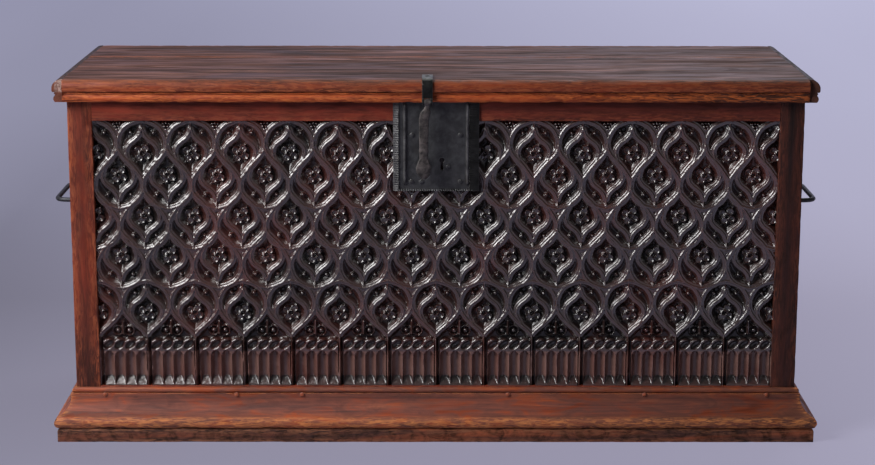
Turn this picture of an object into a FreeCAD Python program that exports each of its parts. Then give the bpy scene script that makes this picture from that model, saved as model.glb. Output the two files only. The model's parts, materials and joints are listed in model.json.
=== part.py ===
import FreeCAD, Part
import math
import os
import Sketcher

# A carved coffer chest, in millimetres. X runs along the front, the front faces -Y and Z is up. The origin
# is on the floor, at the middle of the box that holds the whole chest.

doc = FreeCAD.newDocument("coffer_chest")
sheet = doc.addObject("Spreadsheet::Sheet", "dims")

SIZES = {
    # carcass
    "body_width": 1258,
    "body_depth": 447,
    "rim_height": 614,
    "stile_width": 42,
    "frame_depth": 42,
    "top_rail_height": 52,
    "bottom_rail_height": 93,
    "end_thickness": 26,
    "back_thickness": 24,
    "tongue_length": 8,
    "tongue_thickness": 8,
    "tenon_length": 28,
    "tenon_thickness": 12,
    "tenon_shoulder": 9,
    "pin_count": 6,
    "pin_height": 26,
    "pin_flare": 6,
    "floor_underside": 30,
    "floor_thickness": 20,
    "floor_front_depth": 210,
    "bearer_width": 55,
    "bearer_inset": 199,
    # carved panel
    "panel_recess": 2.5,
    "panel_thickness": 26,
    "tongue_setback": 12,
    "bay_count": 14,
    "carving_depth": 7,
    "niche_depth": 9,
    "rib_width": 5,
    "lock_mortise_depth": 18,
    "lock_mortise_width": 112,
    "lock_mortise_height": 66,
    # plinth
    "plinth_projection": 36,
    "plinth_height": 91,
    "plinth_bead_height": 7,
    "plinth_bead_reach": 4,
    "plinth_band_height": 8,
    "plinth_band_reach": 8.5,
    "plinth_nose_height": 19,
    "plinth_nose_swell": 5.7,
    "plinth_fillet_height": 25,
    "plinth_fillet_inset": 5,
    # lid
    "lid_overhang": 21,
    "lid_thickness": 21,
    "lid_clearance": 4,
    "lid_nose_radius": 13.5,
    "lid_arris_radius": 3,
    "rear_plank_depth": 172,
    "plank_tongue_length": 8,
    "plank_tongue_thickness": 7,
    "rim_drop": 17,
    "rim_inset": 4.5,
    "rim_bead_height": 4,
    "rim_quirk": 1,
    # hinges at the back
    "hinge_inset": 229,
    "hinge_width": 44,
    "hinge_knuckle_width": 20,
    "hinge_side_gap": 0.3,
    "knuckle_diameter": 13,
    "knuckle_gap": 0.4,
    "hinge_pin_diameter": 6,
    "hinge_running_gap": 0.06,
    "leaf_thickness": 3,
    "leaf_height": 96,
    "strap_thickness": 3,
    "strap_length": 190,
    "strap_tip_width": 11,
    "strap_penny_diameter": 28,
    "strap_notch_gap": 0.6,
    # lock
    "plate_width": 147,
    "plate_height": 162,
    "plate_top_drop": 10,
    "plate_thickness": 2.5,
    "plate_rib_width": 6,
    "plate_rib_height": 3,
    "plate_rib_inset": 17,
    "plate_rib_drop": 10,
    "plate_border_width": 8,
    "plate_border_height": 2,
    "keyhole_offset": 10,
    "keyhole_drop": 119,
    "keyhole_diameter": 9,
    "keyhole_slot_width": 5,
    "keyhole_slot_length": 17,
    "bolt_thickness": 4,
    "bolt_height": 8,
    "bolt_setback": 1.7,
    "bolt_rest_gap": 1.5,
    "bolt_nose_length": 16,
    "bolt_stem_width": 6,
    "bolt_rise": 17,
    "bolt_bar_length": 52,
    "bolt_talon_width": 9,
    "bolt_talon_depth": 3,
    "keeper_width": 5,
    "keeper_thickness": 2.5,
    "keeper_gap": 0.3,
    "keeper_spacing": 14,
    "keeper_inset": 14,
    "spring_thickness": 1.4,
    "spring_depth": 5,
    "spring_length": 34,
    "spring_rise": 6,
    # hasp
    "hasp_offset": 15,
    "hasp_lean": 6,
    "hasp_strap_width": 18,
    "hasp_strap_thickness": 3,
    "hasp_tab_length": 40,
    "hasp_axis_drop": 15,
    "hasp_eye_diameter": 12,
    "hasp_eye_width": 8.4,
    "hasp_pin_diameter": 5,
    "hasp_arm_width": 14,
    "hasp_arm_thickness": 4,
    "hasp_arm_length": 132,
    "hasp_leaf_width": 27,
    "hasp_leaf_length": 40,
    "loop_drop": 109,
    "loop_height": 24,
    "loop_bar": 4,
    "loop_rest_gap": 1.5,
    "loop_rise": 3,
    "loop_slot_width": 8,
    "loop_slot_height": 38,
    # bail handles
    "handle_height": 396,
    "handle_setback": 220,
    "handle_grip": 150,
    "handle_reach": 50,
    "handle_bar_diameter": 8.4,
    "handle_bend_radius": 11,
    "handle_pivot_length": 8,
    "handle_running_gap": 0.08,
    "staple_ring_diameter": 18,
    "staple_ring_width": 6,
    "staple_shank": 7,
    "staple_clinch_length": 22,
    "staple_clinch_thickness": 4,
    "rose_width": 30,
    "rose_thickness": 2.5,
    # nails
    "nail_head_width": 8,
    "nail_head_height": 2.5,
    "nail_shank_width": 3.4,
    "nail_length": 17,
    # one overrun for all cuts
    "overrun": 5,
}

for row, (alias, size) in enumerate(SIZES.items(), start=1):
    sheet.set(f"A{row}", alias)
    sheet.set(f"B{row}", str(size))
    sheet.setAlias(f"B{row}", alias)
doc.recompute()

# Places of small features, as shares of the piece that carries them.
ROW_SHARES = (0.117, 0.198, 0.349, 0.498, 0.719)
PLINTH_NAIL_SHARES = (-0.46, -0.277, -0.186, 0.1, 0.29, 0.46)
SIDE_NAIL_SHARES = (0.2, 0.8)
PLATE_NAIL_SHARES = ((-0.29, 0.1), (-0.173, 0.1), (0.28, 0.1), (0.139, 0.26), (-0.28, 0.6), (0.28, 0.6))
LEAF_NAIL_SHARES = ((-0.3, 0.4), (0.3, 0.4), (0.0, 0.85))
STRAP_NAIL_SHARES = (0.25, 0.6)
NAIL_TIP_SHARE = 0.4
NAIL_CROWN_SHARE = 0.35
SMALL_BEAD_SHARE = 0.56
LARGE_BEAD_SHARE = 0.75
NOSE_ARC_SHARE = 0.58
CAVETTO_ARC_SHARE = 1.25
ROSE_CROWN_SHARE = 0.6
SPRING_BEND_SHARE = 0.25
PLATE_RIB_ROOT_SHARE = 0.33
LOCK_BELOW_SHARE = 0.33
BEND_SHARES = (0.268, 0.732)
OCTAGON_SHARE = 0.4142

# Half of one tracery cell, from its point to its foot: across in shares of the bay, up and down in shares of
# the bay too, from the flower at its middle.
CELL_TIP_SHARE = 0.53
CELL_BEND_SHARES = (0.2, 0.215)
CELL_SWELL_SHARES = (0.385, 0.085)
CELL_SIDE_SHARES = (0.5, -0.1)
CELL_BELLY_SHARES = (0.5, -0.26)
CELL_BASIN_SHARES = (0.31, -0.525)
CELL_FOOT_SHARE = 0.69

# The blind arcade at the foot of the panel, in shares of the panel's height and of the bay.
SPANDREL_TOP_SHARE = 0.735
SPANDREL_FOOT_SHARE = 0.797
SPANDREL_WIDTH_SHARE = 0.74
EYE_TOP_SHARE = 0.822
NICHE_SPRING_SHARE = 0.86
NICHE_FOOT_SHARE = 0.962
NICHE_PITCH_SHARE = 0.232
NICHE_WIDTH_SHARE = 0.185

# Places in the chest that many pieces share.
HALF = "dims.body_width / 2"
DEPTH_BEHIND = "(dims.knuckle_gap + dims.knuckle_diameter)"
FRONT = f"((dims.plinth_projection - dims.body_depth - {DEPTH_BEHIND}) / 2)"
BACK = f"({FRONT} + dims.body_depth)"
FRAME_BACK = f"({FRONT} + dims.frame_depth)"
OPENING_HALF = "(dims.body_width / 2 - dims.stile_width)"
RIM = "dims.rim_height"
PANEL_TOP = "(dims.rim_height - dims.top_rail_height)"
PANEL_FOOT = "dims.bottom_rail_height"
PANEL_HEIGHT = f"({PANEL_TOP} - {PANEL_FOOT})"
PANEL_FACE = f"({FRONT} + dims.panel_recess)"
TONGUE_FACE = f"({PANEL_FACE} + dims.tongue_setback)"
TONGUE_MIDDLE = f"({TONGUE_FACE} + dims.tongue_thickness / 2)"
BAY = f"(2 * {OPENING_HALF} / dims.bay_count)"
INNER_HALF = "(dims.body_width / 2 - dims.end_thickness)"
INNER_BACK = f"({BACK} - dims.back_thickness)"
LID_TOP = "(dims.rim_height + dims.lid_thickness)"
LID_FRONT = f"({FRONT} - dims.lid_overhang)"
LID_HALF = "(dims.body_width / 2 + dims.lid_clearance)"
HINGE_HALF = "(dims.body_width / 2 - dims.hinge_inset)"
BEARER_HALF = "(dims.body_width / 2 - dims.bearer_inset)"
HINGE_Y = f"({BACK} + dims.knuckle_gap + dims.knuckle_diameter / 2)"
HINGE_Z = "(dims.rim_height - dims.knuckle_gap - dims.knuckle_diameter / 2)"
PLATE_FACE = f"({FRONT} - dims.plate_thickness)"
PLATE_TOP = "(dims.rim_height - dims.plate_top_drop)"
PLATE_FOOT = f"({PLATE_TOP} - dims.plate_height)"
HASP_Y = f"({LID_FRONT} - dims.hasp_eye_diameter / 2)"
HASP_Z = "(dims.rim_height - dims.hasp_axis_drop)"
HASP_X = "(-dims.hasp_offset)"
LOOP_X = "(-dims.hasp_offset - dims.hasp_lean)"
LOOP_Z = f"({HASP_Z} - dims.loop_drop)"
BOLT_FACE = f"({FRONT} + dims.bolt_setback)"
BOLT_NOSE_Z = f"({LOOP_Z} + dims.loop_rise - dims.bolt_height / 2)"
BOLT_BAR_Z = f"({BOLT_NOSE_Z} + dims.bolt_rise)"
BOLT_TIP = f"({LOOP_X} + dims.loop_bar / 2 + dims.bolt_rest_gap)"
BOLT_END = f"({BOLT_TIP} + dims.bolt_nose_length + dims.bolt_bar_length)"
PIVOT_REACH = "(dims.rose_thickness + dims.staple_ring_diameter / 2)"
HANDLE_Y = f"({FRONT} + dims.handle_setback)"
SIDES = (("left", -1), ("right", 1))

nodes = []


def number(expression):
    """Value of an expression, for the first guess of a sketch."""
    return float(sheet.evalExpression(expression))


def node(piece, label):
    """Takes a finished piece into the list that is written out, under its name."""
    piece.Label = label
    nodes.append(piece)
    return piece


def new_body(name):
    return doc.addObject("PartDesign::Body", name)


def new_sketch(body, role, offset=None):
    """Sketch on one of the body's own origin planes, moved along the plane's normal."""
    sketch = body.newObject("Sketcher::SketchObject", f"{body.Name}_sketch")
    plane = [item for item in body.Origin.OriginFeatures if item.Role == role][0]
    sketch.AttachmentSupport = [(plane, "")]
    sketch.MapMode = "FlatFace"
    if offset is not None:
        sketch.setExpression("AttachmentOffset.Base.z", offset)
    return sketch


def arc_between(begin, finish, radius, turn):
    """Arc under a half circle. With turn +1 its centre lies on the left of the way from begin to finish."""
    chord = finish - begin
    half = chord.Length / 2
    rise = math.sqrt(max(radius * radius - half * half, 0))
    left = FreeCAD.Vector(-chord.y, chord.x, 0).normalize()
    centre = (begin + finish) / 2 + left * rise * turn
    start = math.atan2(begin.y - centre.y, begin.x - centre.x)
    stop = math.atan2(finish.y - centre.y, finish.x - centre.x)
    circle = Part.Circle(centre, FreeCAD.Vector(0, 0, 1), radius)
    if turn > 0:
        return Part.ArcOfCircle(circle, start, stop)
    return Part.ArcOfCircle(circle, stop, start)


def outline(sketch, corners, closed=True):
    """Lines and arcs through corners (x, y), or (x, y, radius, turn) where an arc leaves the corner."""
    places = [FreeCAD.Vector(number(corner[0]), number(corner[1]), 0) for corner in corners]
    first = sketch.GeometryCount
    count = len(corners) if closed else len(corners) - 1
    edges, starts, ends = [], [], []
    for index in range(count):
        begin = places[index]
        finish = places[(index + 1) % len(corners)]
        turn = 1
        if len(corners[index]) > 2:
            turn = corners[index][3]
            edges.append(arc_between(begin, finish, number(corners[index][2]), turn))
        else:
            edges.append(Part.LineSegment(begin, finish))
        starts.append(1 if turn > 0 else 2)
        ends.append(2 if turn > 0 else 1)
    sketch.addGeometry(edges, False)
    rules, bound = [], []
    for index in range(count if closed else count - 1):
        after = (index + 1) % count
        rules.append(Sketcher.Constraint("Coincident", first + index, ends[index],
                                         first + after, starts[after]))
    for index, corner in enumerate(corners):
        edge = min(index, count - 1)
        spot = starts[edge] if index < count else ends[edge]
        for kind, expression, value in zip(("DistanceX", "DistanceY"), corner[:2], places[index]):
            bound.append((len(rules), expression))
            rules.append(Sketcher.Constraint(kind, first + edge, spot, value))
        if len(corner) > 2:
            bound.append((len(rules), corner[2]))
            rules.append(Sketcher.Constraint("Radius", first + edge, number(corner[2])))
    base = sketch.ConstraintCount
    sketch.addConstraint(rules)
    for index, expression in bound:
        sketch.setExpression(f"Constraints[{base + index}]", expression)


def rectangle(sketch, low, high):
    outline(sketch, [(low[0], low[1]), (high[0], low[1]), (high[0], high[1]), (low[0], high[1])])


def circle(sketch, centre, radius):
    first = sketch.GeometryCount
    middle = FreeCAD.Vector(number(centre[0]), number(centre[1]), 0)
    sketch.addGeometry([Part.Circle(middle, FreeCAD.Vector(0, 0, 1), number(radius))], False)
    base = sketch.ConstraintCount
    sketch.addConstraint([
        Sketcher.Constraint("DistanceX", first, 3, middle.x),
        Sketcher.Constraint("DistanceY", first, 3, middle.y),
        Sketcher.Constraint("Radius", first, number(radius)),
    ])
    for index, expression in enumerate((centre[0], centre[1], radius)):
        sketch.setExpression(f"Constraints[{base + index}]", expression)


def pad(body, sketch, length, symmetric=False, reverse=False):
    feature = body.newObject("PartDesign::Pad", f"{body.Name}_pad")
    feature.Profile = sketch
    feature.SideType = "Symmetric" if symmetric else "One side"
    feature.Reversed = reverse
    feature.setExpression("Length", length)
    sketch.Visibility = False
    return feature


def pocket(body, sketch, length, reverse=False, symmetric=False):
    """Cut that goes against the sketch plane's normal, or along it when reversed."""
    feature = body.newObject("PartDesign::Pocket", f"{body.Name}_pocket")
    feature.Profile = sketch
    feature.SideType = "Symmetric" if symmetric else "One side"
    feature.Reversed = reverse
    feature.setExpression("Length", length)
    sketch.Visibility = False
    return feature


def row_of(body, feature, sketch, count, pitch, axis="H_Axis"):
    """Repeats a feature along one of its sketch's own axes."""
    pattern = body.newObject("PartDesign::LinearPattern", f"{body.Name}_row")
    pattern.Originals = [feature]
    pattern.Direction = (sketch, [axis])
    pattern.setExpression("Occurrences", count)
    pattern.setExpression("Length", f"({pitch}) * ({count} - 1)")
    body.Tip = pattern
    return pattern


def box(name, low, high):
    """Block between two corners."""
    block = doc.addObject("Part::Box", name)
    for side, axis, start, end in zip(("Length", "Width", "Height"), "xyz", low, high):
        block.setExpression(side, f"({end}) - ({start})")
        block.setExpression(f"Placement.Base.{axis}", start)
    return block


def rod(name, radius, start, length, direction):
    """Round bar from a start point along a direction."""
    bar = doc.addObject("Part::Cylinder", name)
    bar.Placement.Rotation = FreeCAD.Rotation(FreeCAD.Vector(0, 0, 1), direction)
    bar.setExpression("Radius", radius)
    bar.setExpression("Height", length)
    for axis, place in zip("xyz", start):
        bar.setExpression(f"Placement.Base.{axis}", place)
    return bar


def knuckle(name, radius, start, length, direction):
    """Forged eye or penny end: a bar with flats all round, from a start point along a direction."""
    bar = doc.addObject("Part::Prism", name)
    bar.Polygon = 12
    bar.Placement.Rotation = FreeCAD.Rotation(FreeCAD.Vector(0, 0, 1), direction)
    bar.setExpression("Circumradius", radius)
    bar.setExpression("Height", length)
    for axis, place in zip("xyz", start):
        bar.setExpression(f"Placement.Base.{axis}", place)
    return bar


def fused(name, pieces):
    joined = doc.addObject("Part::MultiFuse", name)
    joined.Shapes = pieces
    return joined


def grouped(name, pieces):
    group = doc.addObject("Part::Compound", name)
    group.Links = pieces
    return group


def cut(name, base, tool):
    result = doc.addObject("Part::Cut", name)
    result.Base = base
    result.Tool = tool
    return result


def across(sign, inner, outer):
    """Low and high X of a span that lies between two distances from the middle, on one side."""
    if sign > 0:
        return inner, outer
    return f"-({outer})", f"-({inner})"


def frustum(name, place, turn, start, end, first_half, last_half):
    """Square spike along its own Y axis, set at a place and turned."""
    spike = doc.addObject("Part::Wedge", name)
    spike.Placement.Rotation = turn
    for axis, expression in zip("xyz", place):
        spike.setExpression(f"Placement.Base.{axis}", expression)
    for key, expression in (("Ymin", start), ("Ymax", end)):
        spike.setExpression(key, expression)
    for key in ("X", "Z"):
        spike.setExpression(f"{key}min", f"-({first_half})")
        spike.setExpression(f"{key}max", first_half)
        spike.setExpression(f"{key}2min", f"-({last_half})")
        spike.setExpression(f"{key}2max", last_half)
    return spike


X_AXIS = FreeCAD.Vector(1, 0, 0)
Y_AXIS = FreeCAD.Vector(0, 1, 0)
Z_AXIS = FreeCAD.Vector(0, 0, 1)
TURNS = {
    "back": FreeCAD.Rotation(),
    "front": FreeCAD.Rotation(Z_AXIS, 180),
    "left": FreeCAD.Rotation(Z_AXIS, 90),
    "right": FreeCAD.Rotation(Z_AXIS, -90),
    "up": FreeCAD.Rotation(X_AXIS, 90),
    "down": FreeCAD.Rotation(X_AXIS, -90),
}


def nails(name, places, outward):
    """Forged nails with square tapered shanks and faceted heads: the nails, and their shanks as a cutter."""
    shanks, pieces = [], []
    half = "dims.nail_shank_width / 2"
    for index, place in enumerate(places):
        tip = f"{NAIL_TIP_SHARE} * {half}"
        crown = f"{NAIL_CROWN_SHARE} * dims.nail_head_width"
        turn = TURNS[outward]
        shank = frustum(f"{name}_shank_{index}", place, turn, "-dims.nail_length", "0", tip, half)
        head = frustum(f"{name}_head_{index}", place, turn, "0", "dims.nail_head_height",
                       "dims.nail_head_width / 2", crown)
        shanks.append(shank)
        pieces += [shank, head]
    return fused(name, pieces), grouped(f"{name}_holes", shanks)


# Front frame. The stiles run the full height, and the rails are tenoned into them.
for side, sign in SIDES:
    stile = new_body(f"{side}_stile_body")
    section = new_sketch(stile, "XY_Plane")
    inner = f"{sign} * {OPENING_HALF}"
    outer = f"{sign} * {HALF}"
    groove_floor = f"{sign} * ({OPENING_HALF} + dims.tongue_length)"
    groove_back = f"({TONGUE_FACE} + dims.tongue_thickness)"
    tongue_outer = f"{sign} * ({HALF} - (dims.end_thickness - dims.tongue_thickness) / 2)"
    tongue_inner = f"{sign} * ({HALF} - (dims.end_thickness + dims.tongue_thickness) / 2)"
    tongue_floor = f"({FRAME_BACK} - dims.tongue_length)"
    outline(section, [
        (inner, FRONT),
        (outer, FRONT),
        (outer, FRAME_BACK),
        (tongue_outer, FRAME_BACK),
        (tongue_outer, tongue_floor),
        (tongue_inner, tongue_floor),
        (tongue_inner, FRAME_BACK),
        (inner, FRAME_BACK),
        (inner, groove_back),
        (groove_floor, groove_back),
        (groove_floor, TONGUE_FACE),
        (inner, TONGUE_FACE),
    ])
    pad(stile, section, RIM)
    mortises = new_sketch(stile, "YZ_Plane", inner)
    tenon_low = f"({TONGUE_MIDDLE} - dims.tenon_thickness / 2)"
    tenon_high = f"({TONGUE_MIDDLE} + dims.tenon_thickness / 2)"
    rectangle(mortises, (tenon_low, f"{PANEL_TOP} + dims.tenon_shoulder"),
              (tenon_high, f"{RIM} - dims.tenon_shoulder"))
    rectangle(mortises, (tenon_low, "dims.tenon_shoulder"),
              (tenon_high, f"{PANEL_FOOT} - dims.tenon_shoulder"))
    pocket(stile, mortises, "dims.tenon_length", reverse=sign > 0)
    node(stile, f"front_{side}_stile")

rails = {}
for name, low, high, groove_at in (
    ("front_top_rail", PANEL_TOP, RIM, "foot"),
    ("front_bottom_rail", "0", PANEL_FOOT, "top"),
):
    rail = new_body(f"{name}_body")
    section = new_sketch(rail, "YZ_Plane")
    groove_back = f"({TONGUE_FACE} + dims.tongue_thickness)"
    if groove_at == "foot":
        groove = f"({low} + dims.tongue_length)"
        outline(section, [
            (FRONT, low), (TONGUE_FACE, low), (TONGUE_FACE, groove), (groove_back, groove),
            (groove_back, low), (FRAME_BACK, low), (FRAME_BACK, high), (FRONT, high),
        ])
    else:
        groove = f"({high} - dims.tongue_length)"
        outline(section, [
            (FRONT, low), (FRAME_BACK, low), (FRAME_BACK, high), (groove_back, high),
            (groove_back, groove), (TONGUE_FACE, groove), (TONGUE_FACE, high), (FRONT, high),
        ])
    pad(rail, section, f"2 * {OPENING_HALF}", symmetric=True)
    tenons = new_sketch(rail, "YZ_Plane")
    rectangle(tenons, (f"{TONGUE_MIDDLE} - dims.tenon_thickness / 2", f"{low} + dims.tenon_shoulder"),
              (f"{TONGUE_MIDDLE} + dims.tenon_thickness / 2", f"{high} - dims.tenon_shoulder"))
    pad(rail, tenons, f"2 * ({OPENING_HALF} + dims.tenon_length)", symmetric=True)
    rails[name] = rail


# Carved panel: fourteen bays of interlaced ogee cells, with half cells at both ends, over a blind arcade.
def cell_corners(middle_z, flip, middle_x):
    """Outline of one cell, drawn in by half a rib. Flip -1 stands it on its point."""
    rib = "dims.rib_width / 2"

    def right(share):
        return f"{middle_x} + ({share} * {BAY} - {rib})"

    def left(share):
        return f"{middle_x} - ({share} * {BAY} - {rib})"

    def level(share):
        return f"{middle_z} + {flip} * ({share} * {BAY})"

    tip = f"{middle_z} + {flip} * ({CELL_TIP_SHARE} * {BAY} - dims.rib_width)"
    foot = f"{middle_z} - {flip} * ({CELL_FOOT_SHARE} * {BAY} - {rib})"
    flank = (CELL_BEND_SHARES, CELL_SWELL_SHARES, CELL_SIDE_SHARES, CELL_BELLY_SHARES, CELL_BASIN_SHARES)
    falling = [(left(share), level(rise)) for share, rise in flank]
    rising = [(right(share), level(rise)) for share, rise in reversed(flank)]
    return [(middle_x, tip), *falling, (middle_x, foot), *rising]


panel = new_body("carved_panel_body")
field = new_sketch(panel, "XZ_Plane", f"-{PANEL_FACE}")
rectangle(field, (f"-{OPENING_HALF}", PANEL_FOOT), (OPENING_HALF, PANEL_TOP))
pad(panel, field, "dims.panel_thickness", reverse=True)
tongue = new_sketch(panel, "XZ_Plane", f"-{TONGUE_FACE}")
rectangle(tongue, (f"-{OPENING_HALF} - dims.tongue_length", f"{PANEL_FOOT} - dims.tongue_length"),
          (f"{OPENING_HALF} + dims.tongue_length", f"{PANEL_TOP} + dims.tongue_length"))
pad(panel, tongue, "dims.tongue_thickness", reverse=True)
carvings = []


def carve(name, corners, depth, count):
    """Row of hollows cut into the panel's face, one to a bay."""
    hollow = new_body(name)
    shape = new_sketch(hollow, "XZ_Plane", f"-{PANEL_FACE}")
    outline(shape, corners)
    row_of(hollow, pad(hollow, shape, depth, reverse=True), shape, count, BAY)
    carvings.append(hollow)


first_mullion = f"(-{OPENING_HALF})"
first_bay = f"(-{OPENING_HALF} + {BAY} / 2)"
for index, share in enumerate(ROW_SHARES):
    flip = -1 if index in (0, len(ROW_SHARES) - 1) else 1
    level = f"({PANEL_TOP} - {share} * {PANEL_HEIGHT})"
    if index % 2 == 0:
        carve(f"cell_row_{index}", cell_corners(level, flip, first_mullion), "dims.carving_depth",
              "(dims.bay_count + 1)")
    else:
        carve(f"cell_row_{index}", cell_corners(level, flip, first_bay), "dims.carving_depth",
              "dims.bay_count")

spread = f"{SPANDREL_WIDTH_SHARE} * {BAY} / 2"
foot = f"{PANEL_TOP} - {SPANDREL_FOOT_SHARE} * {PANEL_HEIGHT}"
carve("spandrel_row", [
    (first_bay, f"{PANEL_TOP} - {SPANDREL_TOP_SHARE} * {PANEL_HEIGHT}"),
    (f"{first_bay} - {spread}", foot),
    (f"{first_bay} + {spread}", foot),
], "dims.carving_depth", "dims.bay_count")

niche_count = 4
half_niche = f"{NICHE_WIDTH_SHARE} * {BAY} / 2"
crown = f"{PANEL_TOP} - {EYE_TOP_SHARE} * {PANEL_HEIGHT}"
spring_line = f"{PANEL_TOP} - {NICHE_SPRING_SHARE} * {PANEL_HEIGHT}"
sill = f"{PANEL_TOP} - {NICHE_FOOT_SHARE} * {PANEL_HEIGHT}"
for place in range(niche_count):
    step = f"{place - (niche_count - 1) / 2} * {NICHE_PITCH_SHARE} * {BAY}"
    middle = f"({first_bay} + {step})"
    carve(f"niche_row_{place}", [
        (f"{middle} - {half_niche}", sill),
        (f"{middle} + {half_niche}", sill),
        (f"{middle} + {half_niche}", spring_line),
        (middle, crown),
        (f"{middle} - {half_niche}", spring_line),
    ], "dims.niche_depth", "dims.bay_count")

lock_mortise = new_sketch(panel, "XZ_Plane", f"-{PANEL_FACE}")
rectangle(lock_mortise,
          ("-dims.lock_mortise_width / 2", f"{LOOP_Z} - {LOCK_BELOW_SHARE} * dims.lock_mortise_height"),
          ("dims.lock_mortise_width / 2", f"{LOOP_Z} + (1 - {LOCK_BELOW_SHARE}) * dims.lock_mortise_height"))
pocket(panel, lock_mortise, "dims.lock_mortise_depth")


# Ends and back. The back boards' pins pass through the end boards.
def pin_corners(index, reach):
    """Two corner pairs of one pin at the back corner, from its root to its face."""
    middle = f"(({index} + 0.5) * dims.rim_height / dims.pin_count)"
    root = "(dims.pin_height / 2 + dims.pin_flare / 2)"
    face = "(dims.pin_height / 2 - dims.pin_flare / 2)"
    return [
        (INNER_BACK, f"{middle} - {root}"),
        (reach, f"{middle} - {face}"),
        (reach, f"{middle} + {face}"),
        (INNER_BACK, f"{middle} + {root}"),
    ]


pin_total = int(number("dims.pin_count"))
ends = {}
for side, sign in SIDES:
    end = new_body(f"{side}_end_body")
    low, high = across(sign, INNER_HALF, HALF)
    face = new_sketch(end, "YZ_Plane", low)
    corners = [(BACK, RIM), (FRAME_BACK, RIM), (FRAME_BACK, "0"), (BACK, "0")]
    for index in range(pin_total):
        root_low, face_low, face_high, root_high = pin_corners(index, BACK)
        corners += [face_low, root_low, root_high, face_high]
    outline(face, corners)
    pad(end, face, "dims.end_thickness")
    slip = new_sketch(end, "YZ_Plane", f"{low} + (dims.end_thickness - dims.tongue_thickness) / 2")
    rectangle(slip, (f"{FRAME_BACK} - dims.tongue_length", "0"), (FRAME_BACK, RIM))
    pad(end, slip, "dims.tongue_thickness")
    shank_holes = new_sketch(end, "YZ_Plane", low)
    for way in (-1, 1):
        middle = (f"({HANDLE_Y} + {way} * (dims.handle_grip / 2 - dims.handle_bend_radius"
                  " - dims.handle_pivot_length / 2))")
        rectangle(shank_holes,
                  (f"{middle} - dims.staple_shank / 2", "dims.handle_height - dims.staple_shank / 2"),
                  (f"{middle} + dims.staple_shank / 2", "dims.handle_height + dims.staple_shank / 2"))
    pocket(end, shank_holes, "dims.end_thickness", reverse=True)
    ends[side] = end

backs = {}
for name, first in (("back_lower_board", 0), ("back_upper_board", pin_total // 2)):
    board = new_body(f"{name}_body")
    low = f"({first} * dims.rim_height / dims.pin_count)"
    high = f"({first + pin_total // 2} * dims.rim_height / dims.pin_count)"
    section = new_sketch(board, "YZ_Plane")
    rectangle(section, (INNER_BACK, low), (BACK, high))
    pad(board, section, f"2 * {INNER_HALF}", symmetric=True)
    pins = new_sketch(board, "YZ_Plane")
    for index in range(first, first + pin_total // 2):
        outline(pins, pin_corners(index, BACK))
    pad(board, pins, "dims.body_width", symmetric=True)
    backs[name] = board

notches = new_sketch(backs["back_upper_board"], "XZ_Plane", f"-{BACK}")
for side, sign in SIDES:
    middle = f"({sign} * {HINGE_HALF})"
    half_notch = "(dims.hinge_knuckle_width / 2 + dims.strap_notch_gap)"
    rectangle(notches, (f"{middle} - {half_notch}", f"{RIM} - dims.strap_thickness - dims.strap_notch_gap"),
              (f"{middle} + {half_notch}", f"{RIM} + dims.overrun"))
pocket(backs["back_upper_board"], notches, "dims.back_thickness", reverse=True)

# Floor boards on three bearers.
floor_top = "dims.floor_underside + dims.floor_thickness"
seam = f"({FRAME_BACK} + dims.floor_front_depth)"
node(box("floor_front", (f"-{INNER_HALF}", FRAME_BACK, "dims.floor_underside"),
         (INNER_HALF, seam, floor_top)), "floor_front_board")
node(box("floor_rear", (f"-{INNER_HALF}", seam, "dims.floor_underside"), (INNER_HALF, INNER_BACK, floor_top)),
     "floor_rear_board")
for name, place in (("left", -1), ("middle", 0), ("right", 1)):
    middle = f"({place} * {BEARER_HALF})"
    node(box(f"{name}_bearer", (f"{middle} - dims.bearer_width / 2", FRAME_BACK, "0"),
             (f"{middle} + dims.bearer_width / 2", INNER_BACK, "dims.floor_underside")),
         f"floor_{name}_bearer")


# Plinth: bead, band, hollow and rounded nose, mitred at the front corners, over a plain fillet.
def moulding_corners(across_to, turn):
    """Section of the moulding. Across_to gives the sketch place of a distance out from the body's face."""
    band_top = "(dims.plinth_height - dims.plinth_bead_height)"
    band_foot = f"({band_top} - dims.plinth_band_height)"
    nose_root = "(dims.plinth_projection - dims.plinth_nose_swell)"
    nose_top = "(dims.plinth_fillet_height + dims.plinth_nose_height)"
    nose = f"{NOSE_ARC_SHARE} * dims.plinth_nose_height"
    bead = f"{SMALL_BEAD_SHARE} * dims.plinth_bead_height"
    hollow = f"({CAVETTO_ARC_SHARE} * ({band_foot} - {nose_top}))"
    return [
        (across_to("0"), "dims.plinth_fillet_height"),
        (across_to(nose_root), "dims.plinth_fillet_height", nose, turn),
        (across_to(nose_root), nose_top, hollow, -turn),
        (across_to("dims.plinth_band_reach"), band_foot),
        (across_to("dims.plinth_band_reach"), band_top),
        (across_to("dims.plinth_bead_reach"), band_top, bead, turn),
        (across_to("dims.plinth_bead_reach"), "dims.plinth_height"),
        (across_to("0"), "dims.plinth_height"),
    ]


def fillet_corners(across_to, turn):
    reach = "(dims.plinth_projection - dims.plinth_fillet_inset)"
    return [
        (across_to("0"), "0"),
        (across_to(reach), "0"),
        (across_to(reach), "dims.plinth_fillet_height"),
        (across_to("0"), "dims.plinth_fillet_height"),
    ]


def front_place(distance):
    return f"{FRONT} - {distance}"


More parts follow.
